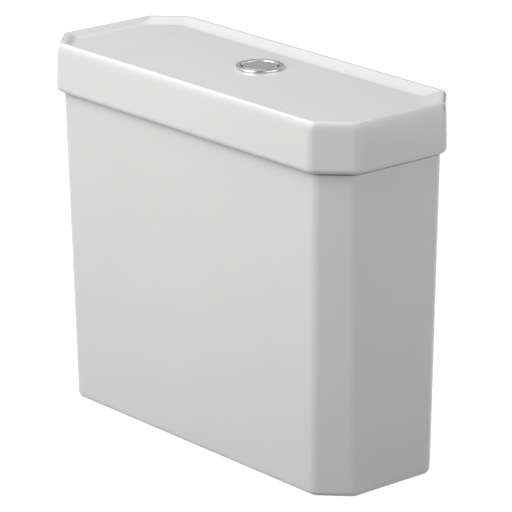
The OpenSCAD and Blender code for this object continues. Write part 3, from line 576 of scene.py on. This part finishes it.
@dataclass
class Tank:
    """China tank: tapering walls, a rounded foot, a shoulder under the neck that the lid covers, and drilled holes."""

    top_plan: Plan = Plan(203.0, -75.0, 76.0, 25.0)
    foot_plan: Plan = Plan(198.5, -69.5, 76.0, 27.5)
    neck_plan: Plan = Plan(200.5, -73.5, 73.5, 24.93)
    shoulder: float = 304.5
    rim: float = 336.5
    corner: float = 12.0
    neck_corner: float = 10.0
    inner_corner: float = 6.0
    courses: tuple[float, ...] = (60.0, 120.0, 180.0, 240.0)
    foot: float = 5.5
    wall: float = 10.0
    floor: float = 14.0
    cove: float = 4.0
    shoulder_round: float = 0.8
    rim_round: float = 2.0
    outlet: tuple[Point, float] = ((0.0, -16.0), 31.3)
    bolts: tuple[Point, float] = ((75.0, -16.0), 5.5)
    inlets: tuple[Point, float] = ((140.0, 0.0), 11.98)
    wall_hole: tuple[Point, float] = ((110.0, 268.0), 4.0)

    def plan(self, z: float) -> Plan:
        """Returns the tank's outline at a height below the shoulder."""
        share = 1.0 - z / self.shoulder
        pairs = zip(astuple(self.top_plan), astuple(self.foot_plan))
        return Plan(*[a + (b - a) * share for a, b in pairs])

    def build(self) -> None:
        """Builds the tank."""
        form = Form("cistern_tank")
        top, neck = self.plan(self.shoulder), self.neck_plan
        cavity = top.inset(self.wall)
        foot, cove = bend(8, self.foot, self.foot), bend(5, self.cove, self.cove)
        shoulder = bend(3, self.shoulder_round, self.shoulder_round)
        rim = bend(4, self.rim_round, self.rim_round)
        levels = [
            *[(self.plan(z), i, self.corner - i, z) for i, z in reversed(foot)],
            *[(self.plan(z), 0.0, self.corner, z) for z in self.courses],
            *[(top, i, self.corner - i, self.shoulder - z) for i, z in shoulder],
            (neck, 0.0, self.neck_corner, self.shoulder),
            *[(neck, i, self.neck_corner - i, self.rim - z) for i, z in rim],
            *[(cavity, -i, self.inner_corner, self.rim - z) for i, z in reversed(rim)],
            (cavity, 0.0, self.inner_corner, self.shoulder),
            *[(self.plan(self.floor + z), self.wall + i, self.inner_corner, self.floor + z) for i, z in cove],
        ]
        rings = [form.octagon(plan.inset(inset), corner, z) for plan, inset, corner, z in levels]
        form.skin(rings)
        drilled = [self.outlet]
        for (x, y), radius in (self.bolts, self.inlets):
            drilled += [((x, y), radius), ((-x, y), radius)]
        low = [form.circle(at, radius, 0.0, 48) for at, radius in drilled]
        high = [form.circle(at, radius, self.floor, 48) for at, radius in drilled]
        for pair in zip(low, high):
            form.skin(pair)
        form.fill(rings[0], *low)
        form.fill(rings[-1], *high)
        self.drill_back(form)
        form.weld()
        for face in form.mesh.faces:
            if max(v.co.z for v in face.verts) < LEVEL:
                face.material_index = 1
        piece = form.cast(CHINA, "tank", smooth=50.0)
        piece.data.materials.append(BISQUE.material())

    def drill_back(self, form: Form) -> None:
        """Opens the two wall screw holes through the back."""
        back = self.top_plan.back
        (x, z), radius = self.wall_hole
        turn = Matrix.Rotation(QUARTER_TURN, 4, "X")
        mouths = []
        for y in (back, back - self.wall):
            flat = [f for f in form.mesh.faces if all(abs(v.co.y - y) < LEVEL for v in f.verts)]
            holed = [f for f in flat if min(v.co.z for v in f.verts) < z < max(v.co.z for v in f.verts)]
            rim = list({e for f in holed for e in f.edges if sum(g in holed for g in e.link_faces) == 1})
            bmesh.ops.delete(form.mesh, geom=holed, context="FACES_ONLY")
            circles = [form.hoop(Matrix.Translation((side * x, y, z)) @ turn, radius, 32) for side in (-1.0, 1.0)]
            form.fill(rim, *circles)
            mouths.append(circles)
        for pair in zip(*mouths):
            form.skin(pair)


def lathe(*turns: float) -> list[Point]:
    """Returns an outline with square corners.

    Args:
        turns: Radius and height in turn: across to each radius, then along to the height after it.

    Returns:
        The corners, the last one back at the first radius.
    """
    radii, heights = turns[0::2], turns[1::2]
    corners = [(radii[0], heights[0])]
    for radius, start, end in zip(radii[1:], heights, heights[1:]):
        corners += [(radius, start), (radius, end)]
    return [*corners, (radii[0], heights[-1])]


def stepped(radius: float, z: float, steps: Sequence[Point]) -> list[Point]:
    """Returns the points that lie some way out and up from a corner of an outline."""
    return [(radius + out, z + up) for out, up in steps]


def rounded(node: str, name: str, width: float, finish: Finish, body: Body = Body.CISTERN, segments: int = 2) -> None:
    """Dresses a CAD node in its own shape, with its edges rounded by a width in some segments."""
    Form.of_node(node, name).soften(width, segments).cast(finish, node, body)


@dataclass
class Fitting:
    """Pieces turned round one upright axis."""

    at: Point

    def ring(
        self, name: str, node: str, finish: Finish, width: float, *turns: float, body: Body = Body.CISTERN
    ) -> None:
        """Builds a ring from the radii and heights that lathe takes, its edges softened by a width."""
        Form(name).turned(lathe(*turns), self.at).soften(width).cast(finish, node, body)


@dataclass
class FloorFitting(Fitting):
    """A fitting through the tank's floor, sealed above it and drawn down by a nut below it."""

    floor: float = Tank.floor
    base: float = 17.0
    nut_low: float = -12.0
    nut_high: float = -2.0

    def clamp(self, shank: float, seal: Collar, slip: Collar, nut: Collar, sides: int = 6) -> None:
        """Builds the seal, the slip washer and the nut round a shank, the nut with a number of sides."""
        inner = shank + SLIP
        spans = ((seal, BLACK, self.floor, self.base), (slip, WHITE, self.nut_high, 0.0))
        for (name, node, radius, width), finish, low, high in spans:
            self.ring(name, node, finish, width, inner, low, radius, high)
        name, node, radius, width = nut
        form = Form(name).nut(self.at, radius, inner, self.nut_low, self.nut_high, sides)
        form.soften(width).cast(WHITE, node)


@dataclass
class PushButton(Fitting):
    """Push button in the lid: chromed bezel on a threaded shank, satin cap and stem, spring, rod and nuts."""

    at: Point = BUTTON_AT
    dish: float = Lid.dish
    plate: float = Lid.plate
    bezel: float = 22.3
    bezel_top: float = 351.9
    bezel_foot: tuple[Point, ...] = ((-0.2, 0.0), (0.0, 0.4))
    bezel_edge: tuple[Point, ...] = ((-0.05, -0.7), (-0.25, -0.2), (-0.6, 0.0))
    bore: float = 17.0
    bore_edge: tuple[Point, ...] = ((1.1, 0.0), (0.4, -0.4), (0.0, -1.2))
    shank: float = 19.0
    shank_foot: float = 318.5
    thread_depth: float = 0.6
    thread_out: float = 1.0
    pitch: float = 1.5
    web: float = 321.5
    guide: float = 6.4
    nut_radius: float = 27.0
    washer: float = 2.5
    nut_height: float = 8.0
    cap: float = 16.6
    cap_top: float = 351.5
    cap_low: float = 345.5
    cap_edge: tuple[Point, ...] = ((0.0, -1.2), (-0.4, -0.4), (-1.2, 0.0))
    cap_hollow: tuple[Point, ...] = ((0.6, -0.08), (0.3, -0.12), (0.0, -0.13))
    cap_face: float = 0.2
    stem: float = 6.0
    stem_foot: float = 318.2
    stem_bore: float = 20.0
    rod: float = 4.0
    rod_low: float = 219.5
    rod_high: float = 337.9
    rod_thread: float = 262.0
    rod_depth: float = 0.5
    rod_pitch: float = 1.6
    lock_nut: float = 9.0
    lock_nut_height: float = 6.0
    coil: float = 9.5
    wire: float = 0.7
    wire_sides: int = 10
    spring_gap: float = 0.2
    turns: int = 5
    travel: float = 6.5

    def build(self) -> None:
        """Builds every piece of the button."""
        self.build_bezel()
        self.build_cap()
        self.build_spring()
        self.build_rod()

    def build_bezel(self) -> None:
        """Builds the bezel, its washer and its nut."""
        root = self.shank - self.thread_depth
        outline = [
            (self.guide, self.shank_foot),
            (root, self.shank_foot),
            (root, self.plate - self.thread_out),
            (self.shank, self.plate),
            (self.shank, self.dish),
            *stepped(self.bezel, self.dish, self.bezel_foot),
            *stepped(self.bezel, self.bezel_top, self.bezel_edge),
            *stepped(self.bore, self.bezel_top, self.bore_edge),
            (self.bore, self.web),
            (self.guide, self.web),
        ]
        form = Form("button_bezel_ring").turned(outline, self.at, steps=128).soften(0.2, angle=12.0)
        for face in form.mesh.faces:
            if min(v.co.z for v in face.verts) > self.bezel_top - LEVEL:
                face.material_index = 1
        low = self.plate - self.washer
        foot = low - self.nut_height
        form.thread(self.at, self.shank, self.pitch, self.shank_foot + 0.5, foot - 0.1)
        ring = form.cast(CHROME, "button_bezel", Body.LID)
        ring.data.materials.append(BRUSHED.material())
        inner = self.shank + SLIP
        washer = (inner, low, self.nut_radius, self.plate)
        self.ring("bezel_rubber_washer", "bezel_washer", BLACK, 0.5, *washer, body=Body.LID)
        nut = Form("bezel_clamp_nut").nut(self.at, self.nut_radius, inner, foot, low, sides=8)
        nut.soften(0.7).cast(WHITE, "bezel_nut", Body.LID)

    def build_cap(self) -> None:
        """Builds the satin cap with its hollow stem."""
        bore_top = self.stem_foot + self.stem_bore
        inner = self.rod + SLIP
        outline = [
            *lathe(0.0, bore_top, inner, self.stem_foot, self.stem, self.cap_low)[:-1],
            (self.cap, self.cap_low),
            *stepped(self.cap, self.cap_top, self.cap_edge),
            *[(self.cap * share, self.cap_top + up) for share, up in self.cap_hollow],
        ]
        form = Form("flush_button_cap").turned(outline, self.at, steps=128).soften(0.2, 2, angle=20.0)
        for face in form.mesh.faces:
            if face.calc_center_median().z < self.cap_top - self.cap_face:
                face.material_index = 1
        cap = form.cast(SATIN, "flush_button", Body.BUTTON)
        cap.data.materials.append(CHROME.material())

    def build_spring(self) -> None:
        """Builds the return spring."""
        low, high = self.web + self.spring_gap + self.wire, self.cap_low - self.spring_gap - self.wire
        angles = [FULL_TURN * k / self.wire_sides for k in range(self.wire_sides)]
        section = [(self.coil + self.wire * math.cos(a), low + self.wire * math.sin(a)) for a in angles]
        form = Form("button_return_spring")
        form.wound(section, self.at, (high - low) / self.turns, self.turns, steps=48)
        piece = form.cast(STEEL, "button_spring", Body.LID)
        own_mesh(piece)

    def build_rod(self) -> None:
        """Builds the push rod and the nut that locks it."""
        outline = lathe(
            0.0, self.rod_low, self.rod, self.rod_thread, self.rod - self.rod_depth, self.rod_high
        )
        rod = Form("button_push_rod").turned(outline, self.at, steps=40).soften(0.4)
        rod.thread(self.at, self.rod, self.rod_pitch, self.rod_thread, self.rod_high - 1.0)
        rod.cast(WHITE, "push_rod", Body.BUTTON)
        low = self.stem_foot - self.lock_nut_height
        nut = Form("push_rod_lock_nut").nut(self.at, self.lock_nut, self.rod + SLIP, low, self.stem_foot)
        nut.soften(0.5).cast(WHITE, "rod_lock_nut", Body.BUTTON)


@dataclass
class FlushValve(FloorFitting):
    """Flush valve: threaded base on the floor, cage with its rocker, and the lift tube with its float and seal."""

    at: Point = (0.0, -16.0)
    tail: float = 29.8
    tail_end: float = 28.8
    tail_foot: float = -38.0
    tail_step: float = -24.0
    bore: float = 24.5
    flange: float = 38.0
    flange_top: float = 22.0
    upstand: float = 35.5
    upstand_top: float = 28.0
    seat_radius: float = 28.0
    seat: float = 25.0
    washer_radius: float = 35.4
    slip_radius: float = 37.0
    nut_radius: float = 39.0
    gasket: float = 44.0
    gasket_low: float = -23.0
    gasket_foot: float = 42.0
    gasket_gap: float = 0.3
    recess: float = 40.0
    tube: float = 12.5
    tube_bore: float = 10.5
    tube_foot: float = 28.0
    tube_flange: float = 20.0
    tube_flange_top: float = 31.0
    overflow: float = 252.0
    collar: float = 20.8
    collar_low: float = 220.5
    collar_high: float = 226.5
    float_radius: float = 27.0
    float_wall: float = 2.0
    float_low: float = 108.0
    float_high: float = 148.0
    float_roof: float = 145.5
    seal: float = 28.5
    spigot: float = 10.4
    spigot_bore: float = 8.8
    spigot_top: float = 40.0
    keeper_low: float = 22.0

    def build(self) -> None:
        """Builds every piece of the flush valve."""
        self.build_base()
        self.build_outlet_seals()
        rounded("valve_tower", "flush_valve_cage", 0.5, WHITE)
        rounded("rocker", "lift_rocker", 0.4, BLUE, Body.ROCKER)
        rounded("rocker_pin", "rocker_hinge_pin", 0.3, STEEL)
        self.build_lift()

    def build_base(self) -> None:
        """Builds the valve's base with its seat and tail."""
        outline = lathe(
            *(self.bore, self.tail_foot, self.tail_end, self.tail_step, self.tail, self.base),
            *(self.flange, self.upstand_top, self.upstand, self.flange_top, self.seat_radius, self.seat),
        )
        form = Form("flush_valve_base").turned(outline, self.at, steps=96)
        form.soften(0.6).cast(WHITE, "valve_base")

    def build_outlet_seals(self) -> None:
        """Builds the washers, back nut and gasket round the outlet."""
        self.clamp(
            self.tail,
            seal=("flush_base_washer", "base_washer", self.washer_radius, 0.7),
            slip=("outlet_slip_washer", "back_nut_washer", self.slip_radius, 0.3),
            nut=("outlet_clamp_nut", "outlet_back_nut", self.nut_radius, 1.0),
            sides=8,
        )
        mouth, roof = self.tail + self.gasket_gap, self.nut_low - self.gasket_gap
        outline = [
            *[(mouth, self.gasket_low), (self.gasket_foot, self.gasket_low), (self.gasket, self.gasket_low / 2.0)],
            *[(self.gasket, 0.0), (self.recess, 0.0), (self.recess, roof), (mouth, roof)],
        ]
        gasket = Form("pan_coupling_gasket").turned(outline, self.at, steps=96).soften(1.0, 4, angle=8.0)
        gasket.cast(BLACK, "coupling_gasket")

    def build_lift(self) -> None:
        """Builds the lift tube with its collar, float, seal and retainer."""
        valve = Body.LIFT_VALVE
        tube = (self.tube_bore, self.tube_foot, self.tube_flange, self.tube_flange_top, self.tube, self.overflow)
        self.ring("overflow_lift_tube", "lift_tube", WHITE, 0.5, *tube, body=valve)
        inner = self.tube + SLIP
        collar = Form("lift_tube_collar")
        collar.fluted(self.at, self.collar, inner, self.collar_low, self.collar_high, flutes=28)
        collar.soften(0.35, 2).cast(BLUE, "lift_collar", valve)
        hub, shell = inner + self.float_wall, self.float_radius - self.float_wall
        cup = lathe(
            *(inner, self.float_low, hub, self.float_roof),
            *(shell, self.float_low, self.float_radius, self.float_high),
        )
        cup_float = Form("hold_up_cup_float").turned(cup, self.at, steps=96).soften(0.8)
        cup_float.cast(BLUE, "hold_up_float", valve)
        seal = lathe(self.tube_bore + SLIP, self.seat, self.seal, self.tube_foot)
        seat_seal = Form("flush_seat_seal").turned(seal, self.at, steps=96).soften(0.7)
        seat_seal.cast(SEAL, "flush_seal", valve)
        keeper = (self.spigot_bore, self.keeper_low, self.tube_flange, self.seat, self.spigot, self.spigot_top)
        self.ring("seal_keeper", "seal_retainer", WHITE, 0.4, *keeper, body=valve)


@dataclass
class FillValve(FloorFitting):
    """Fill valve: threaded inlet, riser in its silencing sleeve, head with the float's arm, and the cup float."""

    at: Point = (140.0, 0.0)
    inlet: float = PIPE
    bore: float = 6.5
    foot: float = -38.0
    thread_low: float = -37.2
    groove_low: float = -14.0
    groove_high: float = -12.5
    flange: float = 18.5
    flange_top: float = 21.0
    seal: float = 17.5
    slip: float = 16.5
    socket: float = 12.7
    socket_low: float = 27.0
    socket_high: float = 47.0
    riser: float = 9.5
    riser_bore: float = 6.5
    riser_high: float = 235.0
    collar: float = 14.5
    collar_high: float = 56.0
    head: float = 16.0
    head_low: float = 225.0
    head_high: float = 243.0
    throat: float = 3.0

    def build(self) -> None:
        """Builds every piece of the fill valve."""
        self.build_inlet()
        self.build_riser()
        self.build_head()
        rounded("float_cup", "fill_cup_float", 0.6, BLUE, Body.FLOAT, segments=3)
        rounded("float_link", "float_link_rod", 0.3, STEEL, Body.FLOAT)
        rounded("link_clip", "float_link_clip", 0.3, BRASS, Body.FLOAT)

    def build_inlet(self) -> None:
        """Builds the threaded inlet with its washers, nut and strainer."""
        root, mouth = self.inlet - PIPE_DEPTH, self.riser + SLIP
        outline = lathe(
            *(self.bore, self.foot, root, self.groove_high, self.inlet, self.base),
            *(self.flange, self.flange_top, self.socket, self.socket_high, mouth, self.socket_low),
        )
        form = Form("inlet_threaded_shank").turned(outline, self.at).soften(0.4)
        form.thread(self.at, self.inlet, PIPE_PITCH, self.thread_low, self.groove_low)
        form.cast(WHITE, "inlet_shank")
        self.clamp(
            self.inlet,
            seal=("inlet_flange_washer", "shank_washer", self.seal, 0.6),
            slip=("inlet_slip_washer", "inlet_nut_washer", self.slip, 0.3),
            nut=("inlet_clamp_nut", "inlet_back_nut", self.flange, 0.8),
        )
        rounded("inlet_strainer", "inlet_filter_cup", 0.2, GREEN)

    def build_riser(self) -> None:
        """Builds the riser, its collar and the silencing sleeve."""
        pipe = lathe(self.riser_bore, self.socket_low, self.riser, self.riser_high)
        Form("fill_riser_pipe").turned(pipe, self.at, steps=48).soften(0.3).cast(WHITE, "fill_riser")
        collar = Form("riser_lock_collar")
        collar.fluted(self.at, self.collar, self.riser + SLIP, self.socket_high, self.collar_high, flutes=20)
        collar.soften(0.35, 2).cast(BLUE, "riser_collar")
        rounded("silencer_sleeve", "silencing_sleeve", 0.3, WHITE)

    def build_head(self) -> None:
        """Builds the head, and rounds its cap, arm and pin."""
        mouth = self.riser + SLIP
        head = (self.throat, self.riser_high, mouth, self.head_low, self.head, self.head_high)
        self.ring("fill_valve_head", "fill_head", WHITE, 0.7, *head)
        rounded("head_cap", "fill_head_cap", 0.4, BLUE)
        rounded("diaphragm", "pilot_diaphragm", 0.4, BLACK)
        rounded("fill_arm", "float_arm", 0.3, BLUE, Body.FILL_ARM)
        rounded("arm_pin", "float_arm_pin", 0.3, STEEL)


@dataclass
class SparePlug(FloorFitting):
    """Plug in the spare inlet hole, with its washers and nut."""

    at: Point = (-140.0, 0.0)
    shank: float = PIPE
    hollow: float = 7.0
    foot: float = -16.0
    thread_low: float = -15.7
    thread_high: float = -12.2
    shoulder: float = -12.0
    head: float = 17.5
    head_top: float = 22.0
    slip: float = 16.5
    nut_radius: float = 18.5

    def build(self) -> None:
        """Builds the plug, its washers and its nut."""
        root = self.shank - PIPE_DEPTH
        outline = [
            *lathe(0.0, self.base, self.hollow, self.foot, root, self.thread_high)[:-1],
            *[(self.shank, self.shoulder), (self.shank, self.base), (self.head, self.base)],
            *[(self.head, self.head_top), (0.0, self.head_top)],
        ]
        form = Form("spare_inlet_plug").turned(outline, self.at).soften(0.5)
        form.thread(self.at, self.shank, PIPE_PITCH, self.thread_low, self.thread_high)
        form.cast(WHITE, "blanking_plug")
        self.clamp(
            self.shank,
            seal=("plug_flange_washer", "plug_washer", self.head, 0.6),
            slip=("plug_slip_washer", "plug_nut_washer", self.slip, 0.3),
            nut=("plug_clamp_nut", "plug_nut", self.nut_radius, 0.8),
        )


@dataclass
class CouplingSet:
    """Pair of coupling bolts with their cones, washers and nuts."""

    places: tuple[Point, Point] = ((-75.0, -16.0), (75.0, -16.0))
    floor: float = Tank.floor
    bolt: float = 4.0
    thread_depth: float = 0.55
    pitch: float = 1.25
    foot: float = -38.0
    thread_low: float = -37.6
    groove_low: float = -11.3
    groove_high: float = -9.8
    cone_foot: float = 13.0
    cone_head: float = 9.0
    cone_top: float = 22.0
    washer: float = 10.0
    washer_top: float = 23.6
    head: float = 7.5
    head_top: float = 29.1
    under: float = -3.0
    under_radius: float = 11.0
    nut_low: float = -9.5

    def build(self) -> None:
        """Builds the pair, one piece of each kind for both places."""
        kinds = ("coupling_bolt_pair", "bolt_seal_cones", "bolt_top_washers", "bolt_foot_washers", "bolt_clamp_nuts")
        bolts, cones, tops, feet, nuts = [Form(kind) for kind in kinds]
        inner, root, sunk = self.bolt + SLIP, self.bolt - self.thread_depth, self.washer_top + 1.0
        shaft = lathe(0.0, self.foot, root, self.groove_high, self.bolt, sunk)
        cone = [(self.cone_foot, self.floor), (self.cone_head, self.cone_top)]
        cone = [(inner, self.floor), *cone, (inner, self.cone_top)]
        top = lathe(inner, self.cone_top, self.washer, self.washer_top)
        foot = lathe(inner, self.under, self.under_radius, 0.0)
        for at in self.places:
            bolts.turned(shaft, at, steps=40)
            rims = [bolts.circle(at, self.head, z, 6, QUARTER_TURN) for z in (self.washer_top, self.head_top)]
            bolts.skin(rims)
            for rim in rims:
                bolts.fill(rim)
            cones.turned(cone, at, steps=56)
            tops.turned(top, at, steps=56)
            feet.turned(foot, at, steps=56)
            nuts.nut(at, self.head, inner, self.nut_low, self.under)
        bolts.soften(0.5)
        for at in self.places:
            bolts.thread(at, self.bolt, self.pitch, self.thread_low, self.groove_low)
        bolts.cast(STEEL, "coupling_bolts")
        cones.soften(0.8).cast(BLACK, "bolt_cones")
        tops.soften(0.3).cast(STEEL, "bolt_head_washers")
        feet.soften(0.6).cast(BLACK, "bolt_under_washers")
        nuts.soften(0.6).cast(STEEL, "bolt_nuts")


@dataclass
class Softbox:
    """One soft square lamp, placed round the object's middle and aimed at it."""

    name: str
    azimuth: float
    elevation: float
    distance: float
    size: float
    watts: float
    middle: Place = (0.0, 0.0, 0.2)

    def build(self) -> None:
        """Adds the lamp."""
        data = bpy.data.lights.new(self.name, "AREA")
        data.shape = "SQUARE"
        data.size = self.size
        data.energy = self.watts
        lamp = bpy.data.objects.new(self.name, data)
        bpy.context.scene.collection.objects.link(lamp)
        back = direction(self.azimuth, self.elevation)
        lamp.location = Vector(self.middle) + back * self.distance
        lamp.rotation_euler = back.to_track_quat("Z", "Y").to_euler()


def direction(azimuth: float, elevation: float) -> Vector:
    """Returns the unit vector to a place, in degrees from the front towards the right end and above the floor."""
    a, e = math.radians(azimuth), math.radians(elevation)
    return Vector((math.sin(a) * math.cos(e), -math.cos(a) * math.cos(e), math.sin(e)))


def stage_piece(name: str, mesh: bmesh.types.BMesh, made: bpy.types.Material) -> bpy.types.Object:
    """Turns a mesh, which is freed, into a piece of the stage with a material, and returns the piece."""
    data = bpy.data.meshes.new(name)
    mesh.to_mesh(data)
    mesh.free()
    data.materials.append(made)
    piece = bpy.data.objects.new(name, data)
    bpy.context.scene.collection.objects.link(piece)
    return piece


@dataclass
class Card:
    """A card beside the set that only mirrors see, so that glaze and chrome keep their darker tones."""

    name: str
    place: Place
    half: Point
    azimuth: float = 0.0
    lean: float = 0.0
    fade: Point = (0.0, 1.0)
    glow: Point = (0.0, 0.0)

    def build(self) -> None:
        """Adds the card, as bright at each height as its fade says."""
        turn = Matrix.Rotation(math.radians(self.azimuth), 4, "Z") @ Matrix.Rotation(math.radians(self.lean), 4, "X")
        place = Matrix.Translation(self.place) @ turn @ Matrix.Diagonal((*self.half, 1.0, 1.0))
        mesh = bmesh.new()
        bmesh.ops.create_grid(mesh, x_segments=1, y_segments=1, size=1.0, matrix=place)
        made = bpy.data.materials.new(self.name)
        tree = emptied(made)
        where = add_node(tree, "ShaderNodeTexCoord").outputs["Object"]
        height = add_node(tree, "ShaderNodeSeparateXYZ", {0: where}).outputs["Z"]
        steps = {"Value": height, 1: self.fade[0], 2: self.fade[1], 3: self.glow[0], 4: self.glow[1]}
        strength = add_node(tree, "ShaderNodeMapRange", steps).outputs[0]
        light = add_node(tree, "ShaderNodeEmission", {"Color": linear(WHITE_LIGHT), "Strength": strength})
        add_node(tree, "ShaderNodeOutputMaterial", {"Surface": light.outputs[0]})
        card = stage_piece(self.name, mesh, made)
        card.visible_camera = card.visible_diffuse = card.visible_transmission = card.visible_shadow = False


@dataclass
class Studio:
    """Camera, soft lamps, white surround and the pale floor at the height of the pan's deck."""

    lens: float = 250.6
    azimuth: float = 49.42
    elevation: float = 17.97
    distance: float = 3.3124
    aside: float = 0.00773
    lift: float = -0.00672
    target: Place = (0.0, 0.0, 0.1779)
    ambient: float = 0.12
    floor_half: float = 1.5
    floor_level: float = -0.0003
    opening: tuple[float, float, float] = (0.16, -0.052, 0.058)

    def build(self) -> None:
        """Builds the studio."""
        bpy.context.scene.view_settings.view_transform = "Standard"
        self.build_camera()
        self.build_world()
        self.build_floor()
        turn, away = 49.4, -130.6
        for card in (
            Card("overhead_flag", (0.33, -0.29, 1.7), (0.32, 0.8), turn),
            Card("rear_card", (-1.9, 1.63, 1.225), (1.2, 0.475), away, UPRIGHT, fade=(1.2, 1.6), glow=(0.4, 1.0)),
            Card("rear_flag", (-1.9, 1.63, 0.375), (1.2, 0.375), away, UPRIGHT, glow=(0.08, 0.08)),
            Card("upper_flag", (-0.75, 1.2, 1.84), (0.45, 0.35)),
            Card("right_flag", (0.85, 1.81, 0.375), (0.8, 0.375), 155.0, UPRIGHT),
            Card("camera_flag", (1.97, -1.69, 1.19), (0.8, 0.5), turn, UPRIGHT),
        ):
            card.build()
        for box in (
            Softbox("key softbox", -35.0, 65.0, 1.6, 2.4, 23.9),
            Softbox("front softbox", -10.0, 35.0, 1.4, 1.3, 12.9),
            Softbox("side softbox", 110.0, 15.0, 1.4, 1.3, 6.6),
            Softbox("under softbox", 0.0, -80.0, 1.4, 0.9, 6.0),
        ):
            box.build()

    def build_camera(self) -> None:
        """Places the camera at the photograph's viewing angle."""
        back = direction(self.azimuth, self.elevation)
        right = Vector(UP).cross(back).normalized()
        up = back.cross(right)
        data = bpy.data.cameras.new("camera")
        data.lens = self.lens
        data.sensor_width = 36.0
        data.clip_end = 50.0
        camera = bpy.data.objects.new("camera", data)
        bpy.context.scene.collection.objects.link(camera)
        place = Vector(self.target) + back * self.distance + right * self.aside + up * self.lift
        turn = Matrix((right, up, back)).transposed().to_4x4()
        camera.matrix_world = Matrix.Translation(place) @ turn
        bpy.context.scene.camera = camera

    def seen(self, tree: bpy.types.NodeTree) -> bpy.types.NodeSocket:
        """Returns 1 where a camera, mirror or glass ray looks, and 0 where light only falls."""
        rays = add_node(tree, "ShaderNodeLightPath").outputs
        pair = {0: rays["Is Camera Ray"], 1: rays["Is Glossy Ray"]}
        first = add_node(tree, "ShaderNodeMath", pair, operation="MAXIMUM").outputs[0]
        pair = {0: first, 1: rays["Is Transmission Ray"]}
        return add_node(tree, "ShaderNodeMath", pair, operation="MAXIMUM").outputs[0]

    def build_world(self) -> None:
        """Makes the surround white to look at, and a plain dim light elsewhere."""
        world = bpy.data.worlds.new("surround")
        bpy.context.scene.world = world
        tree = emptied(world)
        glow = add_node(tree, "ShaderNodeBackground", {"Color": linear(WHITE_LIGHT), "Strength": self.ambient})
        white = add_node(tree, "ShaderNodeBackground", {"Color": linear(WHITE_LIGHT), "Strength": 1.0})
        mixed = {0: self.seen(tree), 1: glow.outputs[0], 2: white.outputs[0]}
        surface = add_node(tree, "ShaderNodeMixShader", mixed).outputs[0]
        add_node(tree, "ShaderNodeOutputWorld", {"Surface": surface})

    def build_floor(self) -> None:
        """Lays a pale floor that keeps a soft shadow, opens under the tank and is clear from below."""
        mesh = bmesh.new()
        half, front, back = self.opening
        for low, high in (((-self.floor_half,) * 2, (self.floor_half,) * 2), ((-half, front), (half, back))):
            corners = [(low[0], low[1]), (high[0], low[1]), (high[0], high[1]), (low[0], high[1])]
            verts = [mesh.verts.new((x, y, self.floor_level)) for x, y in corners]
            for pair in zip(verts, verts[1:] + verts[:1]):
                mesh.edges.new(pair)
        bmesh.ops.triangle_fill(mesh, use_beauty=True, edges=mesh.edges[:])
        for face in mesh.faces:
            if face.normal.z < 0.0:
                face.normal_flip()
        made = bpy.data.materials.new("pale_studio_floor")
        tree = emptied(made)
        falls = add_node(tree, "ShaderNodeBsdfDiffuse", {"Color": linear("#8C8C8C")})
        shade = add_node(tree, "ShaderNodeBsdfDiffuse", {"Color": linear("#909090")})
        white = add_node(tree, "ShaderNodeEmission", {"Color": linear(WHITE_LIGHT), "Strength": 0.97})
        pale = add_node(tree, "ShaderNodeAddShader", {0: shade.outputs[0], 1: white.outputs[0]})
        top = add_node(tree, "ShaderNodeMixShader", {0: self.seen(tree), 1: falls.outputs[0], 2: pale.outputs[0]})
        below = add_node(tree, "ShaderNodeBsdfTransparent")
        under = add_node(tree, "ShaderNodeNewGeometry").outputs["Backfacing"]
        both = add_node(tree, "ShaderNodeMixShader", {0: under, 1: top.outputs[0], 2: below.outputs[0]})
        add_node(tree, "ShaderNodeOutputMaterial", {"Surface": both.outputs[0]})
        stage_piece("studio_floor", mesh, made)


def main() -> None:
    """Builds the studio and the cistern in order."""
    logging.basicConfig(level=logging.INFO, format="%(message)s")
    for part in (Studio(), Tank(), Lid(), PushButton(), FlushValve(), FillValve(), SparePlug(), CouplingSet()):
        part.build()
        LOG.info("%s done", type(part).__name__)


if __name__ == "__main__":
    main()
